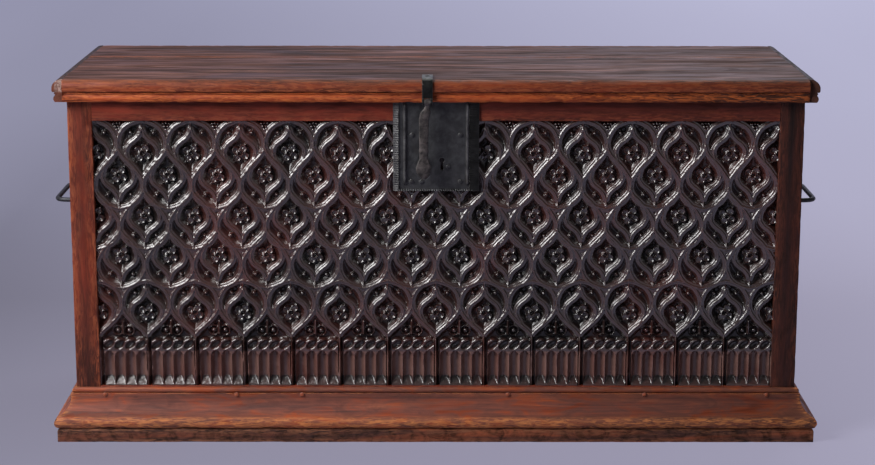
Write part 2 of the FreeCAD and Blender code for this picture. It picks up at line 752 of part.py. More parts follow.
reach = "(dims.plinth_projection + dims.overrun)"
plinth = {}
for kind, corners_of in (("moulding", moulding_corners), ("fillet", fillet_corners)):
    front = new_body(f"plinth_front_{kind}_body")
    section = new_sketch(front, "YZ_Plane")
    outline(section, corners_of(front_place, -1))
    pad(front, section, f"dims.body_width + 2 * {reach}", symmetric=True)
    mitres = new_sketch(front, "XY_Plane")
    for sign in (-1, 1):
        corner = f"{sign} * {HALF}"
        beyond = f"{sign} * ({HALF} + {reach})"
        outline(mitres, [(corner, FRONT), (beyond, f"{FRONT} - {reach}"), (beyond, FRONT)])
    pocket(front, mitres, "dims.plinth_height", reverse=True)
    plinth["front", kind] = front
    for side, sign in SIDES:
        flank = new_body(f"plinth_{side}_{kind}_body")
        section = new_sketch(flank, "XZ_Plane", f"-{BACK}")

        def side_place(distance, sign=sign):
            return f"{sign} * ({HALF} + {distance})"

        outline(section, corners_of(side_place, sign))
        pad(flank, section, f"dims.body_depth + {reach}")
        mitre = new_sketch(flank, "XY_Plane")
        corner = f"{sign} * {HALF}"
        beyond = f"{sign} * ({HALF} + {reach})"
        outline(mitre, [(corner, FRONT), (beyond, f"{FRONT} - {reach}"), (corner, f"{FRONT} - {reach}")])
        pocket(flank, mitre, "dims.plinth_height", reverse=True)
        plinth[side, kind] = flank

nail_level = "(dims.plinth_height - dims.plinth_bead_height - dims.plinth_band_height / 2)"
front_places = [(f"{share} * dims.body_width", f"{FRONT} - dims.plinth_band_reach", nail_level)
                for share in PLINTH_NAIL_SHARES]
front_nails, front_holes = nails("plinth_front_nails", front_places, "front")
side_nails, side_holes = {}, {}
for side, sign in SIDES:
    band_face = f"{sign} * ({HALF} + dims.plinth_band_reach)"
    places = [(band_face, f"{FRONT} + {share} * dims.body_depth", nail_level)
              for share in SIDE_NAIL_SHARES]
    side_nails[side], side_holes[side] = nails(f"plinth_{side}_nails", places, side)
node(grouped("plinth_nail_group", [front_nails, side_nails["left"], side_nails["right"]]), "plinth_nails")
node(cut("plinth_front_cut", plinth["front", "moulding"], front_holes), "plinth_front_moulding")
node(plinth["front", "fillet"], "plinth_front_fillet")
for side, sign in SIDES:
    node(cut(f"plinth_{side}_cut", plinth[side, "moulding"], side_holes[side]), f"plinth_{side}_moulding")
    node(plinth[side, "fillet"], f"plinth_{side}_fillet")
    node(cut(f"{side}_end_cut", ends[side], side_holes[side]), f"{side}_end_board")
node(cut("bottom_rail_cut", rails["front_bottom_rail"], front_holes), "front_bottom_rail")
node(rails["front_top_rail"], "front_top_rail")
node(backs["back_lower_board"], "back_lower_board")

# Lid: two planks with a tongued joint, a beaded rim under the front and a moulded strip along each end.
seam = f"({BACK} - dims.rear_plank_depth)"
tongue_low = f"({RIM} + (dims.lid_thickness - dims.plank_tongue_thickness) / 2)"
tongue_high = f"({RIM} + (dims.lid_thickness + dims.plank_tongue_thickness) / 2)"
tongue_end = f"({seam} + dims.plank_tongue_length)"
rim_face = f"({LID_FRONT} + dims.rim_inset)"
rim_foot = f"({RIM} - dims.rim_drop)"
bead_foot = f"({RIM} - dims.rim_bead_height)"
quirk_foot = f"({bead_foot} - dims.rim_quirk)"
small_bead = f"{SMALL_BEAD_SHARE} * dims.rim_bead_height"
large_bead = f"{LARGE_BEAD_SHARE} * (dims.rim_drop - dims.rim_bead_height - dims.rim_quirk)"
nose_edge = [
    (f"{LID_FRONT} + dims.lid_nose_radius", LID_TOP, "dims.lid_nose_radius", 1),
    (LID_FRONT, f"{LID_TOP} - dims.lid_nose_radius"),
    (LID_FRONT, f"{RIM} + dims.lid_arris_radius", "dims.lid_arris_radius", 1),
    (f"{LID_FRONT} + dims.lid_arris_radius", RIM),
]
bead_edge = [
    (rim_face, RIM, small_bead, 1),
    (rim_face, bead_foot),
    (rim_face, quirk_foot, large_bead, 1),
    (rim_face, rim_foot),
]

front_plank = new_body("lid_front_plank_body")
section = new_sketch(front_plank, "YZ_Plane")
outline(section, nose_edge + [
    (seam, RIM), (seam, tongue_low), (tongue_end, tongue_low), (tongue_end, tongue_high),
    (seam, tongue_high), (seam, LID_TOP),
])
pad(front_plank, section, f"2 * {LID_HALF}", symmetric=True)
rear_plank = new_body("lid_rear_plank_body")
section = new_sketch(rear_plank, "YZ_Plane")
outline(section, [
    (seam, RIM), (BACK, RIM), (BACK, LID_TOP), (seam, LID_TOP), (seam, tongue_high),
    (tongue_end, tongue_high), (tongue_end, tongue_low), (seam, tongue_low),
])
pad(rear_plank, section, f"2 * {LID_HALF}", symmetric=True)
front_rim = new_body("lid_front_rim_body")
section = new_sketch(front_rim, "YZ_Plane")
inner_face = f"({FRONT} - dims.lid_clearance)"
outline(section, bead_edge + [(inner_face, rim_foot), (inner_face, RIM)])
pad(front_rim, section, f"2 * {LID_HALF}", symmetric=True)
node(front_rim, "lid_front_rim")

returned = new_body("lid_return_body")
section = new_sketch(returned, "YZ_Plane")
outline(section, nose_edge + bead_edge + [(BACK, rim_foot), (BACK, LID_TOP)])
pad(returned, section, f"2 * ({HALF} + dims.lid_overhang)", symmetric=True)
for side, sign in SIDES:
    strip = new_body(f"lid_{side}_moulding_body")
    section = new_sketch(strip, "XZ_Plane", f"-{BACK}")

    def end_place(distance, sign=sign):
        return f"{sign} * ({HALF} + {distance})"

    bead_reach = end_place("dims.lid_overhang - dims.rim_inset")
    nose_reach = end_place("dims.lid_overhang")
    inside = end_place("dims.lid_clearance")
    outline(section, [
        (inside, rim_foot),
        (bead_reach, rim_foot, large_bead, sign),
        (bead_reach, quirk_foot),
        (bead_reach, bead_foot, small_bead, sign),
        (bead_reach, RIM),
        (end_place("dims.lid_overhang - dims.lid_arris_radius"), RIM, "dims.lid_arris_radius", sign),
        (nose_reach, f"{RIM} + dims.lid_arris_radius"),
        (nose_reach, f"{LID_TOP} - dims.lid_nose_radius", "dims.lid_nose_radius", sign),
        (end_place("dims.lid_overhang - dims.lid_nose_radius"), LID_TOP),
        (inside, LID_TOP),
    ])
    pad(strip, section, "dims.body_depth + dims.lid_overhang")
    shaped = doc.addObject("Part::Common", f"lid_{side}_shaped")
    shaped.Base = strip
    shaped.Tool = returned
    node(shaped, f"lid_{side}_moulding")

# Strap hinges: a leaf on the outside of the back, a strap under the lid, and a loose pin.
leaf_places, strap_places = [], []
strap_end = f"({INNER_BACK} - dims.strap_length)"
strap_face = f"({RIM} - dims.strap_thickness)"
leaves, straps = {}, {}
for side, sign in SIDES:
    middle = f"({sign} * {HINGE_HALF})"
    wide_low = f"({middle} - dims.hinge_width / 2)"
    wide_high = f"({middle} + dims.hinge_width / 2)"
    slim_low = f"({middle} - dims.hinge_knuckle_width / 2)"
    slim_high = f"({middle} + dims.hinge_knuckle_width / 2)"
    plate = box(f"{side}_leaf_plate", (wide_low, BACK, f"{HINGE_Z} - dims.leaf_height"),
                (wide_high, f"{BACK} + dims.leaf_thickness", HINGE_Z))
    leaf_barrel = knuckle(f"{side}_leaf_knuckle", "dims.knuckle_diameter / 2", (wide_low, HINGE_Y, HINGE_Z),
                          "dims.hinge_width", X_AXIS)
    gap = box(f"{side}_leaf_gap",
              (f"{slim_low} - dims.hinge_side_gap", f"{BACK} - dims.overrun",
               f"{HINGE_Z} - dims.knuckle_diameter / 2 - dims.knuckle_gap"),
              (f"{slim_high} + dims.hinge_side_gap", f"{HINGE_Y} + dims.knuckle_diameter",
               f"{HINGE_Z} + dims.knuckle_diameter"))
    bore = rod(f"{side}_leaf_bore", "dims.hinge_pin_diameter / 2",
               (wide_low, HINGE_Y, HINGE_Z), "dims.hinge_width", X_AXIS)
    blank = fused(f"{side}_leaf_blank", [plate, leaf_barrel])
    leaves[side] = cut(f"{side}_leaf_bored", blank, grouped(f"{side}_leaf_cuts", [gap, bore]))
    pin = rod(f"{side}_pin", "dims.hinge_pin_diameter / 2", (wide_low, HINGE_Y, HINGE_Z),
              "dims.hinge_width", X_AXIS)
    node(pin, f"{side}_hinge_pin")
    leaf_places += [(f"{middle} + {x} * dims.hinge_width", f"{BACK} + dims.leaf_thickness",
                     f"{HINGE_Z} - {z} * dims.leaf_height") for x, z in LEAF_NAIL_SHARES]

    strap = new_body(f"{side}_strap_body")
    shape = new_sketch(strap, "XY_Plane", strap_face)
    outline(shape, [
        (slim_low, HINGE_Y), (slim_low, INNER_BACK), (f"{middle} - dims.strap_tip_width / 2", strap_end),
        (f"{middle} + dims.strap_tip_width / 2", strap_end), (slim_high, INNER_BACK), (slim_high, HINGE_Y),
    ])
    pad(strap, shape, "dims.strap_thickness")
    penny = knuckle(f"{side}_strap_penny", "dims.strap_penny_diameter / 2", (middle, strap_end, strap_face),
                    "dims.strap_thickness", Z_AXIS)
    barrel = knuckle(f"{side}_strap_knuckle", "dims.knuckle_diameter / 2", (slim_low, HINGE_Y, HINGE_Z),
                     "dims.hinge_knuckle_width", X_AXIS)
    eye = rod(f"{side}_strap_bore", "dims.hinge_pin_diameter / 2 + dims.hinge_running_gap",
              (slim_low, HINGE_Y, HINGE_Z), "dims.hinge_knuckle_width", X_AXIS)
    straps[side] = cut(f"{side}_strap_bored", fused(f"{side}_strap_blank", [strap, penny, barrel]), eye)
    strap_places += [(middle, f"{INNER_BACK} - {share} * dims.strap_length", strap_face)
                     for share in STRAP_NAIL_SHARES]
    strap_places.append((middle, strap_end, strap_face))

leaf_nails, leaf_holes = nails("leaf_nail_set", leaf_places, "back")
strap_nails, strap_holes = nails("strap_nail_set", strap_places, "down")
node(leaf_nails, "hinge_leaf_nails")
node(strap_nails, "hinge_strap_nails")
for side, sign in SIDES:
    node(cut(f"{side}_leaf_nailed", leaves[side], leaf_holes), f"{side}_hinge_leaf")
    node(cut(f"{side}_strap_nailed", straps[side], strap_holes), f"{side}_hinge_strap")
node(cut("back_upper_cut", backs["back_upper_board"], leaf_holes), "back_upper_board")
node(cut("rear_plank_cut", rear_plank, strap_holes), "lid_rear_plank")

# Lock plate with its keyhole, the slot for the hasp's loop, raised ribs, border and nails.
plate = new_body("lock_plate_body")
face = new_sketch(plate, "XZ_Plane", f"-{FRONT}")
rectangle(face, ("-dims.plate_width / 2", PLATE_FOOT), ("dims.plate_width / 2", PLATE_TOP))
pad(plate, face, "dims.plate_thickness")
keyhole_z = f"({RIM} - dims.keyhole_drop)"
keyhole = new_sketch(plate, "XZ_Plane", f"-{PLATE_FACE}")
circle(keyhole, ("dims.keyhole_offset", keyhole_z), "dims.keyhole_diameter / 2")
pocket(plate, keyhole, "dims.plate_thickness")
slots = new_sketch(plate, "XZ_Plane", f"-{PLATE_FACE}")
rectangle(slots,
          ("dims.keyhole_offset - dims.keyhole_slot_width / 2", f"{keyhole_z} - dims.keyhole_slot_length"),
          ("dims.keyhole_offset + dims.keyhole_slot_width / 2", keyhole_z))
rectangle(slots,
          (f"{LOOP_X} - dims.loop_slot_width / 2", f"{LOOP_Z} + dims.loop_rise - dims.loop_slot_height / 2"),
          (f"{LOOP_X} + dims.loop_slot_width / 2", f"{LOOP_Z} + dims.loop_rise + dims.loop_slot_height / 2"))
pocket(plate, slots, "dims.plate_thickness")

ribs = new_body("lock_plate_ribs_body")
rib_top = f"({RIM} - dims.rim_drop - dims.plate_border_height)"
section = new_sketch(ribs, "XY_Plane", f"{PLATE_FOOT} + dims.plate_rib_drop")
rib_x = "(-dims.plate_width / 2 + dims.plate_rib_inset)"
rib_root = f"({PLATE_FACE} - {PLATE_RIB_ROOT_SHARE} * dims.plate_rib_height)"
outline(section, [
    (rib_x, PLATE_FACE), (rib_x, rib_root, f"{SMALL_BEAD_SHARE} * dims.plate_rib_width", 1),
    (f"{rib_x} + dims.plate_rib_width", rib_root), (f"{rib_x} + dims.plate_rib_width", PLATE_FACE),
])
rib = pad(ribs, section, f"{rib_top} - {PLATE_FOOT} - dims.plate_rib_drop")
row_of(ribs, rib, section, "2", "dims.plate_width - 2 * dims.plate_rib_inset - dims.plate_rib_width")
node(ribs, "lock_plate_ribs")

border = new_body("lock_plate_border_body")
shape = new_sketch(border, "XZ_Plane", f"-{PLATE_FACE}")
edge_half = "dims.plate_width / 2"
inside_half = "(dims.plate_width / 2 - dims.plate_border_width)"
inside_foot = f"{PLATE_FOOT} + dims.plate_border_width"
outline(shape, [
    (f"-{edge_half}", rib_top), (f"-{edge_half}", PLATE_FOOT), (edge_half, PLATE_FOOT), (edge_half, rib_top),
    (inside_half, rib_top), (inside_half, inside_foot), (f"-{inside_half}", inside_foot),
    (f"-{inside_half}", rib_top),
])
pad(border, shape, "dims.plate_border_height")
node(border, "lock_plate_border")

plate_places = [(f"{x} * dims.plate_width", PLATE_FACE, f"{PLATE_FOOT} + {z} * dims.plate_height")
                for x, z in PLATE_NAIL_SHARES]
plate_nails, plate_holes = nails("plate_nail_set", plate_places, "front")
node(plate_nails, "lock_plate_nails")
node(cut("lock_plate_cut", plate, plate_holes), "lock_plate")
carved = cut("carved_panel_cut", panel, grouped("panel_carvings", carvings))
node(cut("carved_panel_nailed", carved, plate_holes), "front_carved_panel")

# The lock behind the plate: a cranked bolt in two keepers, held by a leaf spring.
bolt = new_body("lock_bolt_body")
shape = new_sketch(bolt, "XZ_Plane", f"-{BOLT_FACE}")
nose_top = f"({BOLT_NOSE_Z} + dims.bolt_height)"
bar_top = f"({BOLT_BAR_Z} + dims.bolt_height)"
stem = f"({BOLT_TIP} + dims.bolt_nose_length)"
stem_far = f"({stem} + dims.bolt_stem_width)"
talon = "(dims.keyhole_offset - dims.bolt_talon_width / 2)"
talon_far = "(dims.keyhole_offset + dims.bolt_talon_width / 2)"
talon_roof = f"({BOLT_BAR_Z} + dims.bolt_talon_depth)"
outline(shape, [
    (BOLT_TIP, BOLT_NOSE_Z), (stem_far, BOLT_NOSE_Z), (stem_far, BOLT_BAR_Z), (talon, BOLT_BAR_Z),
    (talon, talon_roof), (talon_far, talon_roof), (talon_far, BOLT_BAR_Z), (BOLT_END, BOLT_BAR_Z),
    (BOLT_END, bar_top), (stem, bar_top), (stem, nose_top), (BOLT_TIP, nose_top),
])
pad(bolt, shape, "dims.bolt_thickness", reverse=True)
node(bolt, "lock_bolt")

keepers = new_body("lock_keepers_body")
keeper_x = f"({BOLT_END} - dims.keeper_inset - dims.keeper_width - dims.keeper_spacing)"
section = new_sketch(keepers, "YZ_Plane", keeper_x)
slot_back = f"({BOLT_FACE} + dims.bolt_thickness + dims.keeper_gap)"
slot_low = f"({BOLT_BAR_Z} - dims.keeper_gap)"
slot_high = f"({bar_top} + dims.keeper_gap)"
keeper_back = f"({slot_back} + dims.keeper_thickness)"
keeper_low = f"({slot_low} - dims.keeper_thickness)"
keeper_high = f"({slot_high} + dims.keeper_thickness)"
outline(section, [
    (FRONT, keeper_low), (keeper_back, keeper_low), (keeper_back, keeper_high), (FRONT, keeper_high),
    (FRONT, slot_high), (slot_back, slot_high), (slot_back, slot_low), (FRONT, slot_low),
])
keeper = pad(keepers, section, "dims.keeper_width")
row_of(keepers, keeper, section, "2", "dims.keeper_spacing", "N_Axis")
node(keepers, "lock_bolt_keepers")

spring = new_body("lock_spring_body")
shape = new_sketch(spring, "XZ_Plane", f"-{FRONT}")
spring_low = f"({bar_top} + dims.keeper_gap)"
spring_x = f"({keeper_x} - dims.keeper_gap)"
spring_start = f"({spring_x} - dims.spring_length)"
spring_bend = f"({spring_start} + dims.spring_length / 2)"
bend_low = f"({spring_low} + {SPRING_BEND_SHARE} * dims.spring_rise)"
outline(shape, [
    (spring_start, f"{spring_low} + dims.spring_rise"),
    (spring_bend, bend_low),
    (spring_x, spring_low),
    (spring_x, f"{spring_low} + dims.spring_thickness"),
    (spring_bend, f"{bend_low} + dims.spring_thickness"),
    (spring_start, f"{spring_low} + dims.spring_rise + dims.spring_thickness"),
])
pad(spring, shape, "dims.spring_depth", reverse=True)
node(spring, "lock_spring")

# Hasp: a strap over the lid's nose with a forked eye, and a leaf-ended arm with a loop on its back.
eye_half = "dims.hasp_eye_width / 2"
strap_half = "dims.hasp_strap_width / 2"
eye_radius = "dims.hasp_eye_diameter / 2"
outer_radius = "(dims.lid_nose_radius + dims.hasp_strap_thickness)"
tab_end = f"({LID_FRONT} + dims.lid_nose_radius + dims.hasp_tab_length)"
strap_top = f"({LID_TOP} + dims.hasp_strap_thickness)"
lid_strap = new_body("hasp_lid_strap_body")
section = new_sketch(lid_strap, "YZ_Plane", HASP_X)
outline(section, [
    (f"{LID_FRONT} + dims.lid_nose_radius", strap_top, outer_radius, 1),
    (f"{LID_FRONT} - dims.hasp_strap_thickness", f"{LID_TOP} - dims.lid_nose_radius"),
    (f"{LID_FRONT} - dims.hasp_strap_thickness", HASP_Z),
    (LID_FRONT, HASP_Z),
    (LID_FRONT, f"{LID_TOP} - dims.lid_nose_radius", "dims.lid_nose_radius", -1),
    (f"{LID_FRONT} + dims.lid_nose_radius", LID_TOP),
    (tab_end, LID_TOP),
    (tab_end, strap_top),
])
pad(lid_strap, section, "dims.hasp_strap_width", symmetric=True)
fork = knuckle("hasp_fork", eye_radius, (f"{HASP_X} - {strap_half}", HASP_Y, HASP_Z), "dims.hasp_strap_width",
               X_AXIS)
fork_gap = box("hasp_fork_gap",
               (f"{HASP_X} - {eye_half} - dims.hinge_side_gap", f"{HASP_Y} - dims.hasp_eye_diameter",
                f"{HASP_Z} - dims.hasp_eye_diameter"),
               (f"{HASP_X} + {eye_half} + dims.hinge_side_gap", f"{LID_FRONT} + dims.overrun",
                f"{HASP_Z} + {eye_radius} + dims.knuckle_gap"))
fork_bore = rod("hasp_fork_bore", "dims.hasp_pin_diameter / 2", (f"{HASP_X} - {strap_half}", HASP_Y, HASP_Z),
                "dims.hasp_strap_width", X_AXIS)
forked = cut("hasp_forked", fused("hasp_fork_blank", [lid_strap, fork]),
             grouped("hasp_fork_cuts", [fork_gap, fork_bore]))
tab_middle = f"({LID_FRONT} + dims.lid_nose_radius + dims.hasp_tab_length / 2)"
tab_nails, tab_holes = nails("hasp_nail_set", [(HASP_X, tab_middle, strap_top)], "up")
node(tab_nails, "hasp_lid_nails")
node(cut("hasp_strap_cut", forked, tab_holes), "hasp_lid_strap")
plank_holes = grouped("front_plank_holes", [tab_holes, strap_holes])
node(cut("front_plank_cut", front_plank, plank_holes), "lid_front_plank")
node(rod("hasp_pivot", "dims.hasp_pin_diameter / 2", (f"{HASP_X} - {strap_half}", HASP_Y, HASP_Z),
         "dims.hasp_strap_width", X_AXIS), "hasp_pin")

arm = new_body("hasp_arm_body")
shape = new_sketch(arm, "XZ_Plane", f"-({HASP_Y} - dims.hasp_arm_thickness / 2)")
arm_half = "dims.hasp_arm_width / 2"
leaf_half = "dims.hasp_leaf_width / 2"
shoulder = f"({HASP_Z} - {eye_radius} - dims.hasp_arm_thickness)"
arm_foot = f"({HASP_Z} - dims.hasp_arm_length)"
leaf_top = f"({arm_foot} + dims.hasp_leaf_length)"
leaf_belly = f"({arm_foot} + dims.hasp_leaf_length / 2)"
leaf_arc = "dims.hasp_leaf_length"
outline(shape, [
    (f"{HASP_X} - {eye_half}", HASP_Z),
    (f"{HASP_X} - {eye_half}", shoulder),
    (f"{HASP_X} - {arm_half}", f"{shoulder} - dims.hasp_arm_thickness"),
    (f"{LOOP_X} - {arm_half}", leaf_top),
    (f"{LOOP_X} - {leaf_half}", leaf_belly, leaf_arc, 1),
    (f"{LOOP_X} - {eye_half}", arm_foot),
    (f"{LOOP_X} + {eye_half}", arm_foot, leaf_arc, 1),
    (f"{LOOP_X} + {leaf_half}", leaf_belly),
    (f"{LOOP_X} + {arm_half}", leaf_top),
    (f"{HASP_X} + {arm_half}", f"{shoulder} - dims.hasp_arm_thickness"),
    (f"{HASP_X} + {eye_half}", shoulder),
    (f"{HASP_X} + {eye_half}", HASP_Z),
])
pad(arm, shape, "dims.hasp_arm_thickness", reverse=True)
arm_eye = knuckle("hasp_arm_eye", eye_radius, (f"{HASP_X} - {eye_half}", HASP_Y, HASP_Z),
                  "dims.hasp_eye_width", X_AXIS)
arm_bore = rod("hasp_arm_bore", "dims.hasp_pin_diameter / 2 + dims.hinge_running_gap",
               (f"{HASP_X} - {eye_half}", HASP_Y, HASP_Z), "dims.hasp_eye_width", X_AXIS)
node(cut("hasp_arm_bored", fused("hasp_arm_blank", [arm, arm_eye]), arm_bore), "hasp_arm")

loop = new_body("hasp_loop_body")
section = new_sketch(loop, "YZ_Plane", LOOP_X)
arm_back = f"({HASP_Y} + dims.hasp_arm_thickness / 2)"
loop_tip = f"({PLATE_FACE} - dims.loop_rest_gap)"
loop_low = f"({LOOP_Z} - dims.loop_height / 2)"
loop_high = f"({LOOP_Z} + dims.loop_height / 2)"
outline(section, [
    (arm_back, loop_low), (loop_tip, loop_low), (loop_tip, loop_high), (arm_back, loop_high),
    (arm_back, f"{loop_high} - dims.loop_bar"),
    (f"{loop_tip} - dims.loop_bar", f"{loop_high} - dims.loop_bar"),
    (f"{loop_tip} - dims.loop_bar", f"{loop_low} + dims.loop_bar"), (arm_back, f"{loop_low} + dims.loop_bar"),
])
pad(loop, section, "dims.loop_bar", symmetric=True)
node(loop, "hasp_loop")

# Bail handles. Each bail's ends turn inwards through two ringed staples that are clinched inside the chest.
for side, sign in SIDES:
    pivot_x = f"({sign} * ({HALF} + {PIVOT_REACH}))"
    grip_x = f"({sign} * ({HALF} + dims.handle_reach))"
    near = f"({HANDLE_Y} - dims.handle_grip / 2)"
    far = f"({HANDLE_Y} + dims.handle_grip / 2)"
    bend = "dims.handle_bend_radius"
    bail = new_body(f"{side}_bail_body")
    path = new_sketch(bail, "XY_Plane", "dims.handle_height")
    little, large = [f"{share} * {bend}" for share in BEND_SHARES]
    outline(path, [
        (pivot_x, f"{near} + {bend}"),
        (pivot_x, f"{near} + {large}"),
        (f"{pivot_x} + {sign} * {little}", f"{near} + {little}"),
        (f"{pivot_x} + {sign} * {large}", near),
        (f"{grip_x} - {sign} * {large}", near),
        (f"{grip_x} - {sign} * {little}", f"{near} + {little}"),
        (grip_x, f"{near} + {large}"),
        (grip_x, f"{far} - {large}"),
        (f"{grip_x} - {sign} * {little}", f"{far} - {little}"),
        (f"{grip_x} - {sign} * {large}", far),
        (f"{pivot_x} + {sign} * {large}", far),
        (f"{pivot_x} + {sign} * {little}", f"{far} - {little}"),
        (pivot_x, f"{far} - {large}"),
        (pivot_x, f"{far} - {bend}"),
    ], closed=False)
    section = new_sketch(bail, "XZ_Plane", f"-({near} + {bend})")
    flat = "dims.handle_bar_diameter / 2"
    slope = f"{OCTAGON_SHARE} * dims.handle_bar_diameter / 2"
    ring_corners = ((slope, flat), (flat, slope), (flat, f"-{slope}"), (slope, f"-{flat}"),
                    (f"-{slope}", f"-{flat}"), (f"-{flat}", f"-{slope}"),
                    (f"-{flat}", slope), (f"-{slope}", flat))
    outline(section, [(f"{pivot_x} + {x}", f"dims.handle_height + {z}") for x, z in ring_corners])
    sweep = bail.newObject("PartDesign::AdditivePipe", f"{side}_bail_pipe")
    sweep.Profile = section
    sweep.Spine = (path, [f"Edge{index + 1}" for index in range(path.GeometryCount)])
    sweep.Transition = "Right corner"
    pivots = [rod(f"{side}_pivot_{index}", flat, (pivot_x, place, "dims.handle_height"),
                  "dims.handle_pivot_length", Y_AXIS)
              for index, place in enumerate((f"{near} + {bend}",
                                             f"{far} - {bend} - dims.handle_pivot_length"))]
    bail = fused(f"{side}_bail", [bail, *pivots])
    node(bail, f"{side}_handle_bail")

    staples, roses = [], []
    for index, way in enumerate((-1, 1)):
        middle = (f"({HANDLE_Y} + {way} * (dims.handle_grip / 2 - dims.handle_bend_radius"
                  " - dims.handle_pivot_length / 2))")
        tag = f"{side}_staple_{index}"
        ring_low = f"({middle} - dims.staple_ring_width / 2)"
        ring = knuckle(f"{tag}_ring", "dims.staple_ring_diameter / 2",
                       (pivot_x, ring_low, "dims.handle_height"), "dims.staple_ring_width", Y_AXIS)
        low, high = across(sign, f"{INNER_HALF} - dims.staple_clinch_thickness", f"{HALF} + {PIVOT_REACH}")
        shank_half = "dims.staple_shank / 2"
        shank = box(f"{tag}_shank", (low, f"{middle} - {shank_half}", f"dims.handle_height - {shank_half}"),
                    (high, f"{middle} + {shank_half}", f"dims.handle_height + {shank_half}"))
        low, high = across(sign, f"{INNER_HALF} - dims.staple_clinch_thickness", INNER_HALF)
        clinch = box(f"{tag}_clinch", (low, f"{middle} - {shank_half}", f"dims.handle_height - {shank_half}"),
                     (high, f"{middle} + {shank_half}", "dims.handle_height + dims.staple_clinch_length"))
        eye = rod(f"{tag}_eye", "dims.handle_bar_diameter / 2 + dims.handle_running_gap",
                  (pivot_x, f"{middle} - dims.staple_shank", "dims.handle_height"),
                  "2 * dims.staple_shank", Y_AXIS)
        staples.append(cut(f"{tag}_eyed", fused(f"{tag}_blank", [ring, shank, clinch]), eye))
        rose_half = "dims.rose_width / 2"
        crown = f"{ROSE_CROWN_SHARE} * {rose_half}"
        seat = (f"{sign} * {HALF}", middle, "dims.handle_height")
        rose = frustum(f"{side}_rose_{index}", seat, TURNS[side], "0", "dims.rose_thickness", rose_half,
                       crown)
        roses.append(cut(f"{side}_rose_{index}_holed", rose, shank))
    node(grouped(f"{side}_staple_pair", staples), f"{side}_handle_staples")
    node(grouped(f"{side}_rose_pair", roses), f"{side}_handle_roses")

doc.recompute()
for item in doc.Objects:
    if "Invalid" in item.State or "Error" in item.State:
        raise RuntimeError(f"{item.Label} did not build: {item.State}")
for piece in nodes:
    if piece.Shape.isNull() or not piece.Shape.isValid():
        raise RuntimeError(f"{piece.Label} has no valid shape")

os.makedirs("parts", exist_ok=True)
for piece in nodes:
    piece.Shape.exportStep(os.path.join("parts", f"{piece.Label}.step"))
    print(piece.Label, len(piece.Shape.Solids), round(piece.Shape.Volume))
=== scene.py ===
import json
import math

import bmesh
import bpy
import numpy as np
from mathutils import Matrix, Vector


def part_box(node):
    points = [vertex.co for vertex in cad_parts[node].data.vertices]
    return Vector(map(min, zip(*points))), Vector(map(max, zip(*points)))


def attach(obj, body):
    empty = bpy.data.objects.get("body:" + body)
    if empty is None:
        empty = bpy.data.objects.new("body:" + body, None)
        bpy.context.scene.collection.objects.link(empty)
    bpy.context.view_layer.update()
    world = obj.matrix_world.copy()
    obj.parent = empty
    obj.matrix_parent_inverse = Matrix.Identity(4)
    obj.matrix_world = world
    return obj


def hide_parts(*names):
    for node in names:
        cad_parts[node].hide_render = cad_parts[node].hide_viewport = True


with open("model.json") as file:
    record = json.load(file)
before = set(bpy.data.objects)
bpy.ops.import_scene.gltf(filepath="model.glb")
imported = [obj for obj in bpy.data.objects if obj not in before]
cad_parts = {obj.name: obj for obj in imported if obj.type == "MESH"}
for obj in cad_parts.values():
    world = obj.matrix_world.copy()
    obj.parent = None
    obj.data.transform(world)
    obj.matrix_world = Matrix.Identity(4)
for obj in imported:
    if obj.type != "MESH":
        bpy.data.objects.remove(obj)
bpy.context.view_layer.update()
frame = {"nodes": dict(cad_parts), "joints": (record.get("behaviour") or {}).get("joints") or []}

# A carved coffer chest, in metres and in the CAD frame: X along the front, the front towards -Y, Z up.

# Places read from the frame.
PANEL_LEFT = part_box("front_left_stile")[1].x
PANEL_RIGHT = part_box("front_right_stile")[0].x
PANEL_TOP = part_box("front_top_rail")[0].z
PANEL_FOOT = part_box("front_bottom_rail")[1].z
PANEL_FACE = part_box("front_carved_panel")[0].y
PANEL_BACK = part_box("front_carved_panel")[1].y
BODY_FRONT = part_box("front_left_stile")[0].y
BODY_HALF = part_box("front_right_stile")[1].x
BODY_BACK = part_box("back_lower_board")[1].y
LID_LOW, LID_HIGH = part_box("lid_front_plank")
LID_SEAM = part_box("lid_rear_plank")[0].y
PLATE_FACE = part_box("lock_plate")[0].y
TINY = 1e-12
PLACE_DIGITS = 5

# Grain patterns: repeats per metre along the grain and across it, detail, distortion and shift.
STREAKS = (2.4, 46.0, 7.0, 1.4, 0.0)
FIBRES = (16.0, 520.0, 4.0, 0.0, 0.0)
PATCHES = (3.2, 7.5, 5.0, 0.8, 3.1)
MARKS = (9.0, 60.0, 3.0, 2.0, 7.7)
SPECKS = (48.0, 330.0, 3.0, 1.0, 2.3)
CRACKS = (60.0, 330.0, 3.0, 0.0, 0.0)
CARVED_FIBRES = (20.0, 420.0, 4.0, 0.0, 0.0)
CARVED_PATCHES = (5.0, 8.0, 4.0, 0.6, 1.3)
SCRATCHES = (30.0, 900.0, 3.0, 0.0, 0.4)
# Blots have their own repeats along the grain in each wood.
BLOTS = (46.0, 4.0, 1.2, 5.9)
# Even patterns: repeats per metre, detail and distortion.
CUTS = (240.0, 1.5, 0.8)
IRON_SCALE = (90.0, 6.0, 0.4)
IRON_RUST = (28.0, 5.0, 0.8)
DIMPLES = 150.0

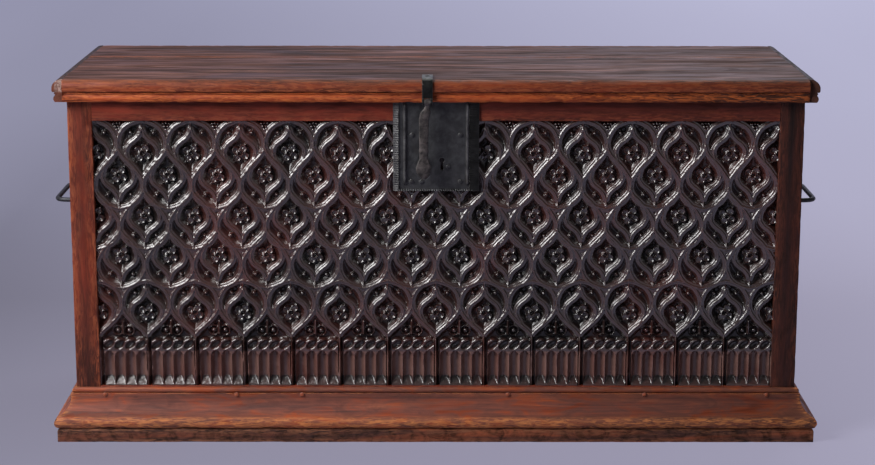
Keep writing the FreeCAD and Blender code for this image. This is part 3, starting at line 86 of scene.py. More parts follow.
# Wear, bump and darkening of the materials. Darkenings are an axis, two places on it and a share: painted
# shade where the lamp's light falls off to the right on rail, rim and plinth, and only darker towards the
# foot on the left stile.
EDGE_RADIUS = 0.0016
EDGE_GAIN = 5.0
BUMP_DISTANCE = 0.0006
CUT_DISTANCE = 0.0011
WOOD_BUMP = 0.35
CARVED_BUMP = 0.60
IRON_BUMP = 0.45
NOISE_ROUGHNESS = 0.62
WOOD_SPECULAR = 0.30
COAT_WEIGHT = 0.7
COAT_ROUGHNESS = 0.22
STROKE_TURN = 24.0
DULL_STEP = 0.22
IRON_DULL_STEPS = (0.16, -0.06)
PORE_SHARE = 0.55
STREAK_SHARE = 0.8
BLOT_DULL_SHARE = 0.5
CARVED_PORE_SHARE = 0.5
CARVED_FIBRE_SHARE = 0.4
STROKE_SHARE = 0.12
SCALE_SHARE = 0.5
IRON_WEAR_SHARE = 0.75
TOP_SLOPES = (0.85, 0.45)
FRONT_SLOPES = (-0.7, -0.95)
IRON_TOP_SLOPES = (0.75, 0.98)
END_HEIGHT_STEPS = (-0.001, 0.002)
END_PLACE_STEPS = (-0.014, -0.010)
# Darker towards the foot of the left stile.
STILE_FOOT_DARKENING = ("Z", 0.30, 0.12, 0.62)
# Painted shade: darker towards the right, where the lamp's light falls off.
RAIL_PAINTED_SHADE = ("X", -0.1, 0.5, 0.45)
RIM_PAINTED_SHADE = ("X", 0.15, 0.5, 0.88)
PLINTH_PAINTED_SHADE = ("X", 0.0, 0.6, 0.40)


# Materials.
def linear(red, green, blue):
    """Colour for a shader from screen values of 0 to 255."""
    shares = [value / 255 for value in (red, green, blue)]
    return tuple(s / 12.92 if s <= 0.04045 else ((s + 0.055) / 1.055) ** 2.4 for s in shares) + (1.0,)


# Black of real stains and of the wood's darkenings, painted shade where the lamp's light falls off.
STAIN_AND_SHADE_BLACK = linear(28, 17, 13)
WAX_GREY = linear(118, 100, 98)
RUBBED_IRON = linear(112, 110, 108)


def new_material(name):
    """New material, its node tree and its shader."""
    material = bpy.data.materials.new(name)
    material.use_nodes = True
    tree = material.node_tree
    return material, tree, tree.nodes["Principled BSDF"]


def put(tree, socket, value):
    """Links an output to an input socket, or sets a plain value on it."""
    if isinstance(value, bpy.types.NodeSocket):
        tree.links.new(value, socket)
    else:
        socket.default_value = value


def add(tree, kind, inputs=None, **settings):
    """New node. Inputs gives socket values, or output sockets to link."""
    node = tree.nodes.new(kind)
    for key, value in settings.items():
        setattr(node, key, value)
    for key, value in (inputs or {}).items():
        put(tree, node.inputs[key], value)
    return node


def ramp(tree, factor, stops):
    """Colour ramp through (position, colour) stops."""
    node = add(tree, "ShaderNodeValToRGB", {"Fac": factor})
    elements = node.color_ramp.elements
    while len(elements) < len(stops):
        elements.new(0.5)
    for element, (position, colour) in zip(elements, stops):
        element.position = position
        element.color = colour
    return node.outputs["Color"]


def fade(tree, factor, *stops):
    """Ramp through greys, given as (position, grey) stops."""
    return ramp(tree, factor, [(position, (value, value, value, 1.0)) for position, value in stops])


def mix(tree, factor, first, second, blend="MIX"):
    """Blend of two colours."""
    node = add(tree, "ShaderNodeMix", data_type="RGBA", blend_type=blend)
    for index, value in ((0, factor), (6, first), (7, second)):
        put(tree, node.inputs[index], value)
    return node.outputs[2]


def calc(tree, operation, first, second=0.0):
    """Sum, product or other result of two values."""
    return add(tree, "ShaderNodeMath", {0: first, 1: second}, operation=operation).outputs[0]


def times(tree, first, *others):
    """Product of several values."""
    for other in others:
        first = calc(tree, "MULTIPLY", first, other)
    return first


def noise(tree, vector, scale, detail, distortion=0.0):
    """Noise of 0 to 1."""
    node = add(tree, "ShaderNodeTexNoise", {"Vector": vector, "Scale": scale, "Detail": detail,
                                            "Roughness": NOISE_ROUGHNESS, "Distortion": distortion})
    return node.outputs["Fac"]


def grain(tree, along, pattern, shift=0.0):
    """Noise in one of the grain patterns, which runs along one axis of the piece."""
    lengthwise, crosswise, detail, distortion, step = pattern
    scale = [crosswise] * 3
    scale["xyz".index(along)] = lengthwise
    coords = add(tree, "ShaderNodeTexCoord").outputs["Object"]
    mapped = add(tree, "ShaderNodeMapping", {"Vector": coords, "Scale": scale,
                                             "Location": [shift + step] * 3})
    return noise(tree, mapped.outputs[0], 1.0, detail, distortion)


def span(tree, source, axis, start, end):
    """Share of 0 to 1 as one part of a place, or of a normal, goes from start to end."""
    coords = add(tree, "ShaderNodeTexCoord").outputs[source]
    part = add(tree, "ShaderNodeSeparateXYZ", {0: coords}).outputs[axis]
    return add(tree, "ShaderNodeMapRange", {"Value": part, "From Min": start, "From Max": end}).outputs[0]


def edge_wear(tree):
    """Share of wear, from the piece's own values and at its edges, and normals that are soft there."""
    own = add(tree, "ShaderNodeAttribute", attribute_name="wear").outputs["Fac"]
    bevel = add(tree, "ShaderNodeBevel", {"Radius": EDGE_RADIUS}, samples=4).outputs[0]
    normal = add(tree, "ShaderNodeNewGeometry").outputs["Normal"]
    dot = add(tree, "ShaderNodeVectorMath", {0: bevel, 1: normal}, operation="DOT_PRODUCT").outputs["Value"]
    edge = times(tree, calc(tree, "SUBTRACT", 1.0, dot), EDGE_GAIN)
    return calc(tree, "MAXIMUM", own, edge), bevel


def surface(tree, shader, colour, rough, height, strength, distance, normal=None):
    """Links a shader's colour and roughness, and a height as its bump."""
    inputs = {"Height": height, "Strength": strength, "Distance": distance}
    if normal is not None:
        inputs["Normal"] = normal
    bump = add(tree, "ShaderNodeBump", inputs)
    for name, value in (("Base Color", colour), ("Roughness", rough), ("Normal", bump.outputs[0])):
        put(tree, shader.inputs[name], value)


def bare_end(tree, along, shift):
    """Share of bare, cracked end grain at the lid's front left corner."""
    heights = [LID_LOW.z + step for step in END_HEIGHT_STEPS]
    places = [LID_LOW.x + step for step in END_PLACE_STEPS]
    cracks = fade(tree, grain(tree, along, CRACKS, shift), (0.40, 0.25), (0.58, 1.0))
    return times(tree, span(tree, "Normal", "Y", *FRONT_SLOPES), span(tree, "Object", "Z", *heights),
                 span(tree, "Object", "X", *places), cracks)


def wood(name, along, colours, gloss=0.40, stain=0.45, shift=0.0, edge=None, end=None, mottle=0.5,
         bloom=0.0, darkening=None, blots_along=13.0):
    """Old waxed wood: streaks and pores along the grain, dark stains, and worn edges.

    Colours are those of dark, middle and light streaks and of worn edges. Edge is the colour of faces that
    don't look up, and end that of bare end grain. Mottle is the strength of small dull and dark patches, and
    bloom that of grey wax. An axis, two places on it and a share can blend the wood towards black: painted
    shade where the lamp's light falls off to the right, and on the left stile only darker towards the foot.
    """
    material, tree, shader = new_material(name)
    dark, middle, light, worn = [linear(*colour) for colour in colours]
    streaks = grain(tree, along, STREAKS, shift)
    fibres = grain(tree, along, FIBRES, shift)
    marks = grain(tree, along, MARKS, shift)
    blots = grain(tree, along, (blots_along, *BLOTS), shift)
    colour = ramp(tree, streaks, ((0.30, dark), (0.50, middle), (0.72, light)))
    colour = mix(tree, PORE_SHARE, colour, fade(tree, fibres, (0.25, 0.35), (0.62, 1.0)), "MULTIPLY")
    if edge:
        shadow = tuple(value / 3 for value in linear(*edge)[:3]) + (1.0,)
        colour = mix(tree, span(tree, "Normal", "Z", *TOP_SLOPES), colour,
                     mix(tree, streaks, shadow, linear(*edge)))
    if end:
        colour = mix(tree, bare_end(tree, along, shift), colour, linear(*end))
    stained = fade(tree, grain(tree, along, PATCHES, shift), (0.44, 0.0), (0.66, stain))
    colour = mix(tree, stained, colour, dark)
    colour = mix(tree, mottle, colour, fade(tree, blots, (0.36, 0.22), (0.62, 1.0)), "MULTIPLY")
    if bloom:
        colour = mix(tree, fade(tree, blots, (0.50, bloom), (0.64, 0.0)), colour, WAX_GREY)
    # Painted shade: the wood blends towards black along an axis where the lamp's light falls off; on the
    # left stile it only gets darker towards the foot.
    if darkening:
        axis, start, finish, share = darkening
        dim = times(tree, span(tree, "Object", axis, start, finish), share)
        colour = mix(tree, dim, colour, STAIN_AND_SHADE_BLACK)
    colour = mix(tree, fade(tree, marks, (0.70, 0.0), (0.78, 0.75)), colour, STAIN_AND_SHADE_BLACK)
    wear, bevel = edge_wear(tree)
    specks = fade(tree, grain(tree, along, SPECKS, shift), (0.44, 0.05), (0.58, 1.0))
    rubbed = times(tree, wear, specks, fade(tree, marks, (0.40, 1.0), (0.70, 0.3)))
    colour = mix(tree, rubbed, colour, worn)
    rough = fade(tree, fibres, (0.25, gloss + DULL_STEP), (0.65, gloss))
    rough = calc(tree, "ADD", rough, fade(tree, blots, (0.36, BLOT_DULL_SHARE * mottle), (0.60, 0.0)))
    height = calc(tree, "ADD", fibres, times(tree, streaks, STREAK_SHARE))
    surface(tree, shader, colour, rough, height, WOOD_BUMP, BUMP_DISTANCE, bevel)
    shader.inputs["Specular IOR Level"].default_value = WOOD_SPECULAR
    return material


def carved_wood(name):
    """Near-black carved wood under old wax: red where rubbed, dull and with painted shade in the hollows."""
    material, tree, shader = new_material(name)
    relief = add(tree, "ShaderNodeAttribute", attribute_name="relief").outputs["Fac"]
    coords = add(tree, "ShaderNodeTexCoord").outputs["Object"]
    fibres = grain(tree, "z", CARVED_FIBRES)
    patches = grain(tree, "z", CARVED_PATCHES)
    cuts = noise(tree, coords, *CUTS)
    # Painted shade: near black on the ground of the carving, lighter up to the crests and lightest in the
    # niches.
    colour = ramp(tree, relief, ((0.0, linear(12, 8, 8)), (0.4, linear(32, 21, 19)),
                                 (0.8, linear(56, 36, 32)), (1.0, linear(124, 92, 84))))
    colour = mix(tree, fade(tree, patches, (0.46, 0.0), (0.66, 0.7)), colour, linear(82, 38, 31))
    colour = mix(tree, CARVED_PORE_SHARE, colour, fade(tree, fibres, (0.28, 0.5), (0.6, 1.0)), "MULTIPLY")
    rough = fade(tree, relief, (0.0, 0.48), (0.3, 0.36), (0.75, 0.30), (0.95, 0.46))
    turns = calc(tree, "ADD", times(tree, relief, STROKE_TURN), times(tree, patches, STROKE_TURN))
    height = calc(tree, "ADD", times(tree, fibres, CARVED_FIBRE_SHARE), cuts)
    height = calc(tree, "ADD", height, times(tree, calc(tree, "SINE", turns), STROKE_SHARE))
    surface(tree, shader, colour, rough, height, CARVED_BUMP, CUT_DISTANCE)
    polish = fade(tree, relief, (0.1, 0.25), (0.4, 1.0), (0.82, 1.0), (0.95, 0.3))
    put(tree, shader.inputs["Specular IOR Level"], polish)
    shader.inputs["Coat Weight"].default_value = COAT_WEIGHT
    shader.inputs["Coat Roughness"].default_value = COAT_ROUGHNESS
    return material


def iron(name, base, rust, bright=(74, 74, 78), gloss=0.46, metal=0.75, top=None):
    """Forged iron: hammer dimples, dark scale, a little rust and rubbed edges.

    Top is the colour of faces that look up.
    """
    material, tree, shader = new_material(name)
    coords = add(tree, "ShaderNodeTexCoord").outputs["Object"]
    dimples = add(tree, "ShaderNodeTexVoronoi", {"Vector": coords, "Scale": DIMPLES, "Smoothness": 1.0},
                  feature="SMOOTH_F1").outputs["Distance"]
    scale = noise(tree, coords, *IRON_SCALE)
    patches = noise(tree, coords, *IRON_RUST)
    colour = ramp(tree, scale, ((0.36, linear(*base)), (0.68, linear(*bright))))
    colour = mix(tree, fade(tree, patches, (0.58, 0.0), (0.76, 0.7)), colour, linear(*rust))
    wear, bevel = edge_wear(tree)
    if top:
        top_faces = times(tree, span(tree, "Normal", "Z", *IRON_TOP_SLOPES),
                         fade(tree, scale, (0.38, 0.15), (0.56, 1.0)))
        colour = mix(tree, top_faces, colour, linear(*top))
    colour = mix(tree, times(tree, wear, IRON_WEAR_SHARE), colour, RUBBED_IRON)
    dull, bare = [gloss + step for step in IRON_DULL_STEPS]
    rough = fade(tree, grain(tree, "z", SCRATCHES), (0.30, dull), (0.66, bare))
    height = calc(tree, "ADD", dimples, times(tree, scale, SCALE_SHARE))
    surface(tree, shader, colour, rough, height, IRON_BUMP, BUMP_DISTANCE, bevel)
    shader.inputs["Metallic"].default_value = metal
    return material


STILE_WOOD = wood("stile_wood", "z", ((60, 20, 12), (116, 42, 24), (146, 58, 31), (144, 74, 44)), shift=0.3,
                  darkening=STILE_FOOT_DARKENING)
# Darker copy of the stile wood for the right stile: painted shade for the lamp's light falling off to the
# right.
SHADED_STILE_WOOD = wood("dark_stile_wood", "z", ((30, 12, 9), (64, 27, 18), (90, 41, 26), (96, 48, 32)),
                       shift=1.1)
RAIL_WOOD = wood("rail_wood", "x", ((66, 22, 14), (126, 44, 27), (156, 60, 35), (132, 64, 40)), shift=1.7,
                 darkening=RAIL_PAINTED_SHADE)
BOARD_WOOD = wood("board_wood", "y", ((52, 24, 16), (98, 48, 30), (128, 70, 44), (150, 92, 60)), gloss=0.44,
                  shift=2.9)
BACK_WOOD = wood("back_wood", "x", ((62, 38, 25), (104, 66, 43), (136, 94, 64), (156, 112, 78)), gloss=0.56,
                 shift=4.3)
INNER_WOOD = wood("inner_wood", "x", ((92, 62, 40), (142, 100, 66), (172, 130, 90), (186, 146, 104)),
                  gloss=0.62, stain=0.3, shift=5.1)
BEARER_WOOD = wood("bearer_wood", "y", ((92, 62, 40), (136, 96, 62), (166, 124, 86), (180, 140, 100)),
                   gloss=0.62, stain=0.3, shift=6.2)
LID_WOOD = wood("lid_wood", "x", ((50, 29, 25), (112, 70, 58), (176, 122, 100), (150, 80, 46)), gloss=0.34,
                stain=0.60, shift=7.4, edge=(152, 62, 32), mottle=0.8, blots_along=5.0)
EDGE_WOOD = wood("lid_edge_wood", "x", ((84, 28, 11), (156, 62, 25), (192, 88, 38), (176, 90, 42)),
                 stain=0.40, shift=8.8, mottle=0.6, darkening=RIM_PAINTED_SHADE)
RETURN_WOOD = wood("lid_return_wood", "y", ((24, 17, 17), (48, 32, 30), (70, 48, 44), (84, 54, 42)),
                   stain=0.35, shift=9.6, edge=(96, 52, 37))
WORN_RETURN_WOOD = wood("worn_lid_return_wood", "y",
                        ((22, 17, 18), (42, 31, 30), (62, 46, 44), (104, 70, 56)),
                        stain=0.30, shift=9.9, edge=(136, 68, 48), end=(190, 162, 152))
PLINTH_COLOURS = ((80, 31, 17), (154, 70, 40), (190, 98, 56), (210, 132, 76))
PLINTH_WOOD = wood("plinth_wood", "x", PLINTH_COLOURS, stain=0.55, shift=10.9, mottle=0.6, bloom=0.22,
                   darkening=PLINTH_PAINTED_SHADE)
PLINTH_SIDE_WOOD = wood("plinth_side_wood", "y", PLINTH_COLOURS, stain=0.55, shift=12.1, mottle=0.6,
                        bloom=0.22)
FILLET_COLOURS = ((34, 27, 27), (98, 54, 41), (166, 84, 50), (140, 90, 64))
FILLET_WOOD = wood("fillet_wood", "x", FILLET_COLOURS, stain=0.6, shift=13.3, mottle=1.0, blots_along=40.0)
FILLET_SIDE_WOOD = wood("fillet_side_wood", "y", FILLET_COLOURS, stain=0.6, shift=14.7, mottle=1.0,
                        blots_along=40.0)
CARVED_WOOD = carved_wood("carved_wood")
IRON = iron("iron", (34, 34, 36), (58, 42, 34))
PLATE_IRON = iron("plate_iron", (40, 40, 42), (50, 46, 44), bright=(66, 66, 68), gloss=0.44, metal=0.25)
# Near-black iron of the lid strap, also painted shade on the lock's right border.
STRAP_AND_SHADE_IRON = iron("strap_iron", (20, 20, 19), (34, 28, 25), bright=(44, 44, 44), top=(112, 114, 112))
HASP_IRON = iron("hasp_iron", (26, 23, 22), (80, 54, 54), bright=(92, 84, 82), metal=0.30)
BRIGHT_IRON = iron("bright_iron", (58, 57, 58), (68, 58, 51), bright=(108, 107, 107), gloss=0.40,
                   metal=0.60)
RUSTED_IRON = iron("rusted_iron", (140, 66, 40), (150, 74, 46), bright=(160, 84, 52), gloss=0.60, metal=0.0)

# Even noise made of sines: turn of each sine, growth of its pitch, and range of the sum.
RIPPLE_SINES = 5
RIPPLE_TURNS = (1.7, 2.4)
RIPPLE_GROWTH = 1.9
RIPPLE_RANGE = 3.2


# Meshes.
def mesh_from(name, points, faces, **values):
    """Mesh from points and faces, with named values for each point."""
    mesh = bpy.data.meshes.new(name)
    mesh.from_pydata([tuple(point) for point in points], [], [tuple(face) for face in faces])
    for key, numbers in values.items():
        layer = mesh.attributes.new(key, "FLOAT", "POINT")
        layer.data.foreach_set("value", np.asarray(numbers, np.float32))
    mesh.validate()
    mesh.update()
    return mesh


def make_piece(name, points, faces, body, slot, material, replaced=(), sharp=45, **values):
    """Piece that moves with a body, with its faces turned outwards and sharp edges above an angle."""
    mesh = mesh_from(name, points, faces, **values)
    work = bmesh.new()
    work.from_mesh(mesh)
    bmesh.ops.recalc_face_normals(work, faces=work.faces)
    work.to_mesh(mesh)
    work.free()
    mesh.materials.append(material)
    mesh.shade_smooth()
    mesh.set_sharp_from_angle(angle=math.radians(sharp))
    piece = bpy.data.objects.new(name, mesh)
    bpy.context.scene.collection.objects.link(piece)
    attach(piece, body)
    if replaced:
        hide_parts(*replaced)


def ring_faces(stations, count):
    """Faces of a strip with a ring of points at each station and both ends closed."""
    faces = []
    for near in range(0, (stations - 1) * count, count):
        far = near + count
        for spot in range(count):
            after = (spot + 1) % count
            faces.append((near + spot, near + after, far + after, far + spot))
    last = (stations - 1) * count
    return faces + [list(range(count))[::-1], list(range(last, last + count))]


def grid_faces(rows, columns):
    """Indices of a grid of points, and the faces between them."""
    index = np.arange(rows * columns).reshape(rows, columns)
    corners = (index[:-1, :-1], index[1:, :-1], index[1:, 1:], index[:-1, 1:])
    return index, np.stack(corners, axis=-1).reshape(-1, 4)


def joined(parts):
    """One list of points and faces from several."""
    points, faces = [], []
    for some_points, some_faces in parts:
        base = len(points)
        points += list(some_points)
        faces += [[base + spot for spot in face] for face in some_faces]
    return points, faces


def smooth_path(points, steps=12):
    """Points of a smooth curve that passes through the given ones."""
    knots = np.array([points[0], *points, points[-1]], float)
    shares = np.linspace(0, 1, steps, endpoint=False)[:, None]
    runs = []
    for before, start, end, after in zip(knots, knots[1:], knots[2:], knots[3:]):
        bend = 2 * before - 5 * start + 4 * end - after
        twist = 3 * (start - end) + after - before
        runs.append(start + shares * (end - before + shares * (bend + shares * twist)) / 2)
    return np.vstack([*runs, knots[-1:]])


def ripple(first, second, seed):
    """Even noise of about 0 to 1 from two arrays, made of sines at odd angles."""
    total = np.zeros(np.broadcast(first, second).shape)
    for index in range(RIPPLE_SINES):
        angle = seed * RIPPLE_TURNS[0] + index * RIPPLE_TURNS[1]
        way = first * math.cos(angle) + second * math.sin(angle)
        total += np.sin(RIPPLE_GROWTH ** index * way + seed * (index + 1)) / (index + 1)
    return 0.5 + total / RIPPLE_RANGE


# Tracery: fourteen bays with mullions at their edges and rows of ogee cells. Heights go down from the top of
# the panel, and relief goes out from its ground. Curves and places are (across, down) from a cell's middle.
BAY_COUNT = 14
BAY = (PANEL_RIGHT - PANEL_LEFT) / BAY_COUNT
PANEL_HEIGHT = PANEL_TOP - PANEL_FOOT
ROW_DEPTHS = (0.0570, 0.0948, 0.1664, 0.2356, 0.3389)
ROW_FLIPS = (-1, 1, 1, 1, -1)
ROW_TIP_SHARES = (1.0, 1.0, 1.0, 1.0, 0.88)
OUTER_RIB = ((0, -0.0445), (0.0075, -0.0345), (0.0175, -0.0245), (0.029, -0.0115), (0.0385, 0.0035),
             (0.0418, 0.015), (0.0408, 0.026), (0.0355, 0.0385), (0.0265, 0.0485), (0.0135, 0.0548),
             (0, 0.0585))
INNER_RIB = ((0.0175, -0.0225), (0.0245, -0.0095), (0.0275, 0.0005), (0.0262, 0.009), (0.0205, 0.0172),
             (0.0105, 0.0252), (0.0038, 0.0335), (0.0008, 0.0425))
TIP_RIDGE = ((0, 0.041), (0, 0.0575))
CUSP = (0.0195, 0.035)
CUSP_RADIUS = 0.0042
CUSP_RISE = 0.0096
PIT = (0.0142, 0.0405)
PIT_RADIUS = 0.0042
RELIEF = 0.0134
FLANK_POWER = 1.8
# Sections of the ribs as (distance from the crest, fall below it): roll, groove, second roll and wall.
OUTER_SECTION = ((0, 0), (0.0009, 0.0004), (0.0019, 0.0020), (0.0028, 0.0030), (0.0037, 0.0024),
                 (0.0045, 0.0024), (0.0056, 0.0036), (0.0074, 0.0064), (0.0094, 0.0092), (0.0122, 0.0116),
                 (0.0165, 0.0134))
INNER_RISE = 0.0122
INNER_SECTION = ((0, 0), (0.0008, 0.0004), (0.0017, 0.0018), (0.0025, 0.0028), (0.0033, 0.0022),
                 (0.0041, 0.0022), (0.0051, 0.0033), (0.0067, 0.0058), (0.0085, 0.0083), (0.0110, 0.0104),
                 (0.0140, 0.0118))
RIDGE_ROUND = 0.0006
RIDGE_REACH = 0.0090
PETAL_TURN = math.radians(58)
PETAL_PLACE = 0.0092
PETAL_RADIUS = 0.0068
PETAL_RISE = 0.0108
PETAL_CUP = 0.0058
PETAL_STEEPNESS = 6
LEAF_TIP = 0.0195
LEAF_HALF = 0.0040
LEAF_RISE = 0.0074
RING_RADIUS = 0.0046
RING_WIDTH = 0.0014
RING_RISE = 0.0102
CORE_RADIUS = 0.0036
CORE_RISE = 0.0050
BOSS_RADIUS = 0.0018
BOSS_RISE = 0.0088
# Berries are placed as (across, down) from the middle of a bay's top.
BERRIES = ((0.0, 0.0045), (0.0052, 0.0052), (0.0026, 0.0102), (-0.0026, 0.0102), (-0.0052, 0.0052),
           (0.0, 0.0155))
BERRY_RADIUS = 0.0032
BERRY_RISE = 0.0128

# Blind arcade under the tracery. Places are (across, down) from the middle of a bay's top.
ARCADE_TOP = 0.3838
ARCADE_LIP = 0.0020
ARCADE_SHIFT = 0.0022
SCALLOP_DROP = 0.0040
EYE_DEPTH = 0.3955
EYE_RADIUS = 0.0080
EYE_HOLLOW = 0.0085
EYE_LEAN = 0.55
NICHE_HEAD = 0.4065
NICHE_SPRING = 0.4145
NICHE_PITCH = 0.0187
NICHE_COUNT = 4
NICHE_HOLLOW = 0.0100
NICHE_POWER = 2.4
COLUMN_HALF = 0.0004
SILL_TOP = 0.4530
SILL_FOOT = 0.4675
MULLION_TOP = 0.3770
MULLION_ROUND = 0.0012
MULLION_REACH = 0.0060
SPANDREL_RISE = 0.0016
SPIKE = ((0, 0.3535), (0, 0.3765))
SPIKE_RISE = 0.0120
SPIKE_REACH = 0.0065
LOBE = (0.0098, 0.3708)
LOBE_RADIUS = 0.0050
LOBE_RISE = 0.0088
FOIL_RADIUS = 0.0086
FOIL_WIDTH = 0.0016
FOIL_RISE = 0.0076

# Mesh of the panel, and shares of its tone at the crests, in the niches and at the back. The tone sets the
# painted shade that darkens the carving towards its ground.
TILE_STEP = 0.0004
BAY_COLUMNS = 72
PANEL_ROWS = 360
WARP = 0.0005
WARP_TURNS = ((2.3, 1.9), (1.7, 2.1))
TOOL_MARK = 0.00026
TOOL_PITCH = 0.0105
MORTISE_FLOOR = 0.0178
MORTISE_MARGIN = 0.0178
CREST_SHARE = 0.8
NICHE_SHARE = 0.95
BACK_SHARE = 0.4


# Carved panel, worked out once for one bay on a fine grid and then laid out along the front.
def distance_to(path, across, down):
    """Distance of each grid point from a curve."""
    nearest = np.full(across.shape, np.inf)
    for start, end in zip(path, path[1:]):
        way = end - start
        share = ((across - start[0]) * way[0] + (down - start[1]) * way[1]) / max(way @ way, TINY)
        share = np.clip(share, 0, 1)
        gap = np.hypot(across - start[0] - share * way[0], down - start[1] - share * way[1])
        nearest = np.minimum(nearest, gap)
    return nearest


def hollow(gap, crest, reach):
    """Fall of 0 to 1 beside a ridge with a rounded crest: steep at first and easing out to the ground."""
    share = np.clip((np.sqrt(gap ** 2 + crest ** 2) - crest) / reach, 0, 1)
    return 1 - (1 - share) ** FLANK_POWER


def fall_beside(gap, section):
    """Fall below a rib's crest, from a smooth section of its flank."""
    flank = smooth_path(section)
    return np.interp(gap, flank[:, 0], flank[:, 1])


def round_top(share):
    """Height of 0 to 1 of a round form, from a share of 0 at its middle to 1 at its edge."""
    return np.sqrt(np.clip(1 - share ** 2, 0, 1))


def dome(across, down, place, radius):
    """Height of 0 to 1 of a round boss."""
    return round_top(np.hypot(across - place[0], down - place[1]) / radius)


def flower(across, down):
    """Rose of four cupped petals with a ringed eye, and a leaf at two opposite petals, at the origin."""
    height = np.zeros(across.shape)
    for quarter in range(4):
        angle = PETAL_TURN + quarter * math.pi / 2
        along = across * math.cos(angle) - down * math.sin(angle)
        aside = across * math.sin(angle) + down * math.cos(angle)
        share = np.hypot(along - PETAL_PLACE, aside) / PETAL_RADIUS
        petal = PETAL_RISE - PETAL_CUP * (1 - np.clip(share, 0, 1) ** 2)
        height = np.maximum(height, petal * np.sqrt(np.clip((1 - share) * PETAL_STEEPNESS, 0, 1)))
        if quarter % 2 == 0:
            half = np.maximum(LEAF_HALF * (LEAF_TIP - along) / (LEAF_TIP - PETAL_PLACE), TILE_STEP)
            inside = (along > 0) & (along < LEAF_TIP) & (np.abs(aside) < half)
            height = np.maximum(height, np.where(inside, LEAF_RISE * (1 - (aside / half) ** 2 / 2), 0))
    radius = np.hypot(across, down)
    height = np.where(radius < CORE_RADIUS, CORE_RISE, height)
    height = np.maximum(height, RING_RISE * round_top((radius - RING_RADIUS) / RING_WIDTH))
    return np.maximum(height, BOSS_RISE * round_top(radius / BOSS_RADIUS))


def tracery_relief(across, down):
    """Relief of the ogee cells over one bay."""
    height = np.zeros(across.shape)
    rows = zip(ROW_DEPTHS, ROW_FLIPS, ROW_TIP_SHARES)
    for index, (depth, flip, tip_share) in enumerate(rows):
        for centre in (0, BAY) if index % 2 == 0 else (BAY / 2,):
            x = across - centre
            y = (down - depth) * flip
            y = np.where(y < 0, y / tip_share, y)
            side = np.abs(x)
            gap = distance_to(smooth_path(OUTER_RIB), side, y)
            height = np.maximum(height, RELIEF - fall_beside(gap, OUTER_SECTION))
            gap = distance_to(smooth_path(INNER_RIB), side, y)
            height = np.maximum(height, INNER_RISE - fall_beside(gap, INNER_SECTION))
            gap = distance_to(np.array(TIP_RIDGE), side, y)
            height = np.maximum(height, INNER_RISE * (1 - hollow(gap, RIDGE_ROUND, RIDGE_REACH)))
            height = height - PIT_RADIUS * dome(side, y, PIT, PIT_RADIUS)
            height = np.maximum(height, CUSP_RISE * dome(side, y, CUSP, CUSP_RADIUS))
            height = np.maximum(height, flower(x, down - depth))
    for berry_x, berry_down in BERRIES:
        berry = dome(across, down, (BAY / 2 + berry_x, berry_down), BERRY_RADIUS)
        height = np.maximum(height, BERRY_RISE * berry)
    return height


def spandrel_relief(side, down):
    """Relief between two cells of the last row: a spike between two ringed bosses."""
    rib = smooth_path(OUTER_RIB)
    rib_side = np.interp((ROW_DEPTHS[-1] - down) / ROW_TIP_SHARES[-1], rib[:, 1], rib[:, 0])
    height = np.where(BAY / 2 - side > rib_side, SPANDREL_RISE, 0)
    gap = distance_to(np.array(SPIKE), side, down)
    height = np.maximum(height, SPIKE_RISE * (1 - hollow(gap, RIDGE_ROUND, SPIKE_REACH)))
    foil = (np.hypot(side - LOBE[0], down - LOBE[1]) - FOIL_RADIUS) / FOIL_WIDTH
    height = np.maximum(height, FOIL_RISE * round_top(foil))
    return np.maximum(height, LOBE_RISE * dome(side, down, LOBE, LOBE_RADIUS))


def arcade_relief(across, down):
    """Relief of the spandrels, eyes, niches and sills over one bay."""
    from_middle = across - BAY / 2
    side = np.abs(from_middle)
    ground = RELIEF - NICHE_HOLLOW
    row_width = NICHE_COUNT * NICHE_PITCH
    from_niche = np.mod(from_middle - ARCADE_SHIFT + row_width / 2, NICHE_PITCH) - NICHE_PITCH / 2
    drop = SCALLOP_DROP * (2 * from_niche / NICHE_PITCH) ** 2
    lip = np.clip((down - ARCADE_TOP - drop) / ARCADE_LIP, 0, 1)
    field = SPANDREL_RISE + (RELIEF - SPANDREL_RISE) * lip
    for index in range(NICHE_COUNT):
        x = from_middle - ARCADE_SHIFT - (index - (NICHE_COUNT - 1) / 2) * NICHE_PITCH
        leaning = x + EYE_LEAN * (down - EYE_DEPTH)
        field = field - EYE_HOLLOW * dome(leaning, down, (0, EYE_DEPTH), EYE_RADIUS)
        head = np.sqrt(np.clip((down - NICHE_HEAD) / (NICHE_SPRING - NICHE_HEAD), 0, 1))
        half = np.maximum((NICHE_PITCH / 2 - COLUMN_HALF) * head, TILE_STEP)
        inside = (down > NICHE_HEAD) & (np.abs(x) < half)
        field = np.where(inside, RELIEF - NICHE_HOLLOW * (1 - np.abs(x / half) ** NICHE_POWER), field)
    sill = ground + NICHE_HOLLOW * np.clip((down - SILL_TOP) / (SILL_FOOT - SILL_TOP), 0, 1)
    in_block = np.abs(from_middle - ARCADE_SHIFT) < row_width / 2
    field = np.where(in_block, np.maximum(field, sill), ground)
    height = np.where(down > ARCADE_TOP, field, spandrel_relief(side, down))
    gap = np.where(down > MULLION_TOP, BAY / 2 - side, np.inf)
    return np.maximum(height, RELIEF * (1 - hollow(gap, MULLION_ROUND, MULLION_REACH)))


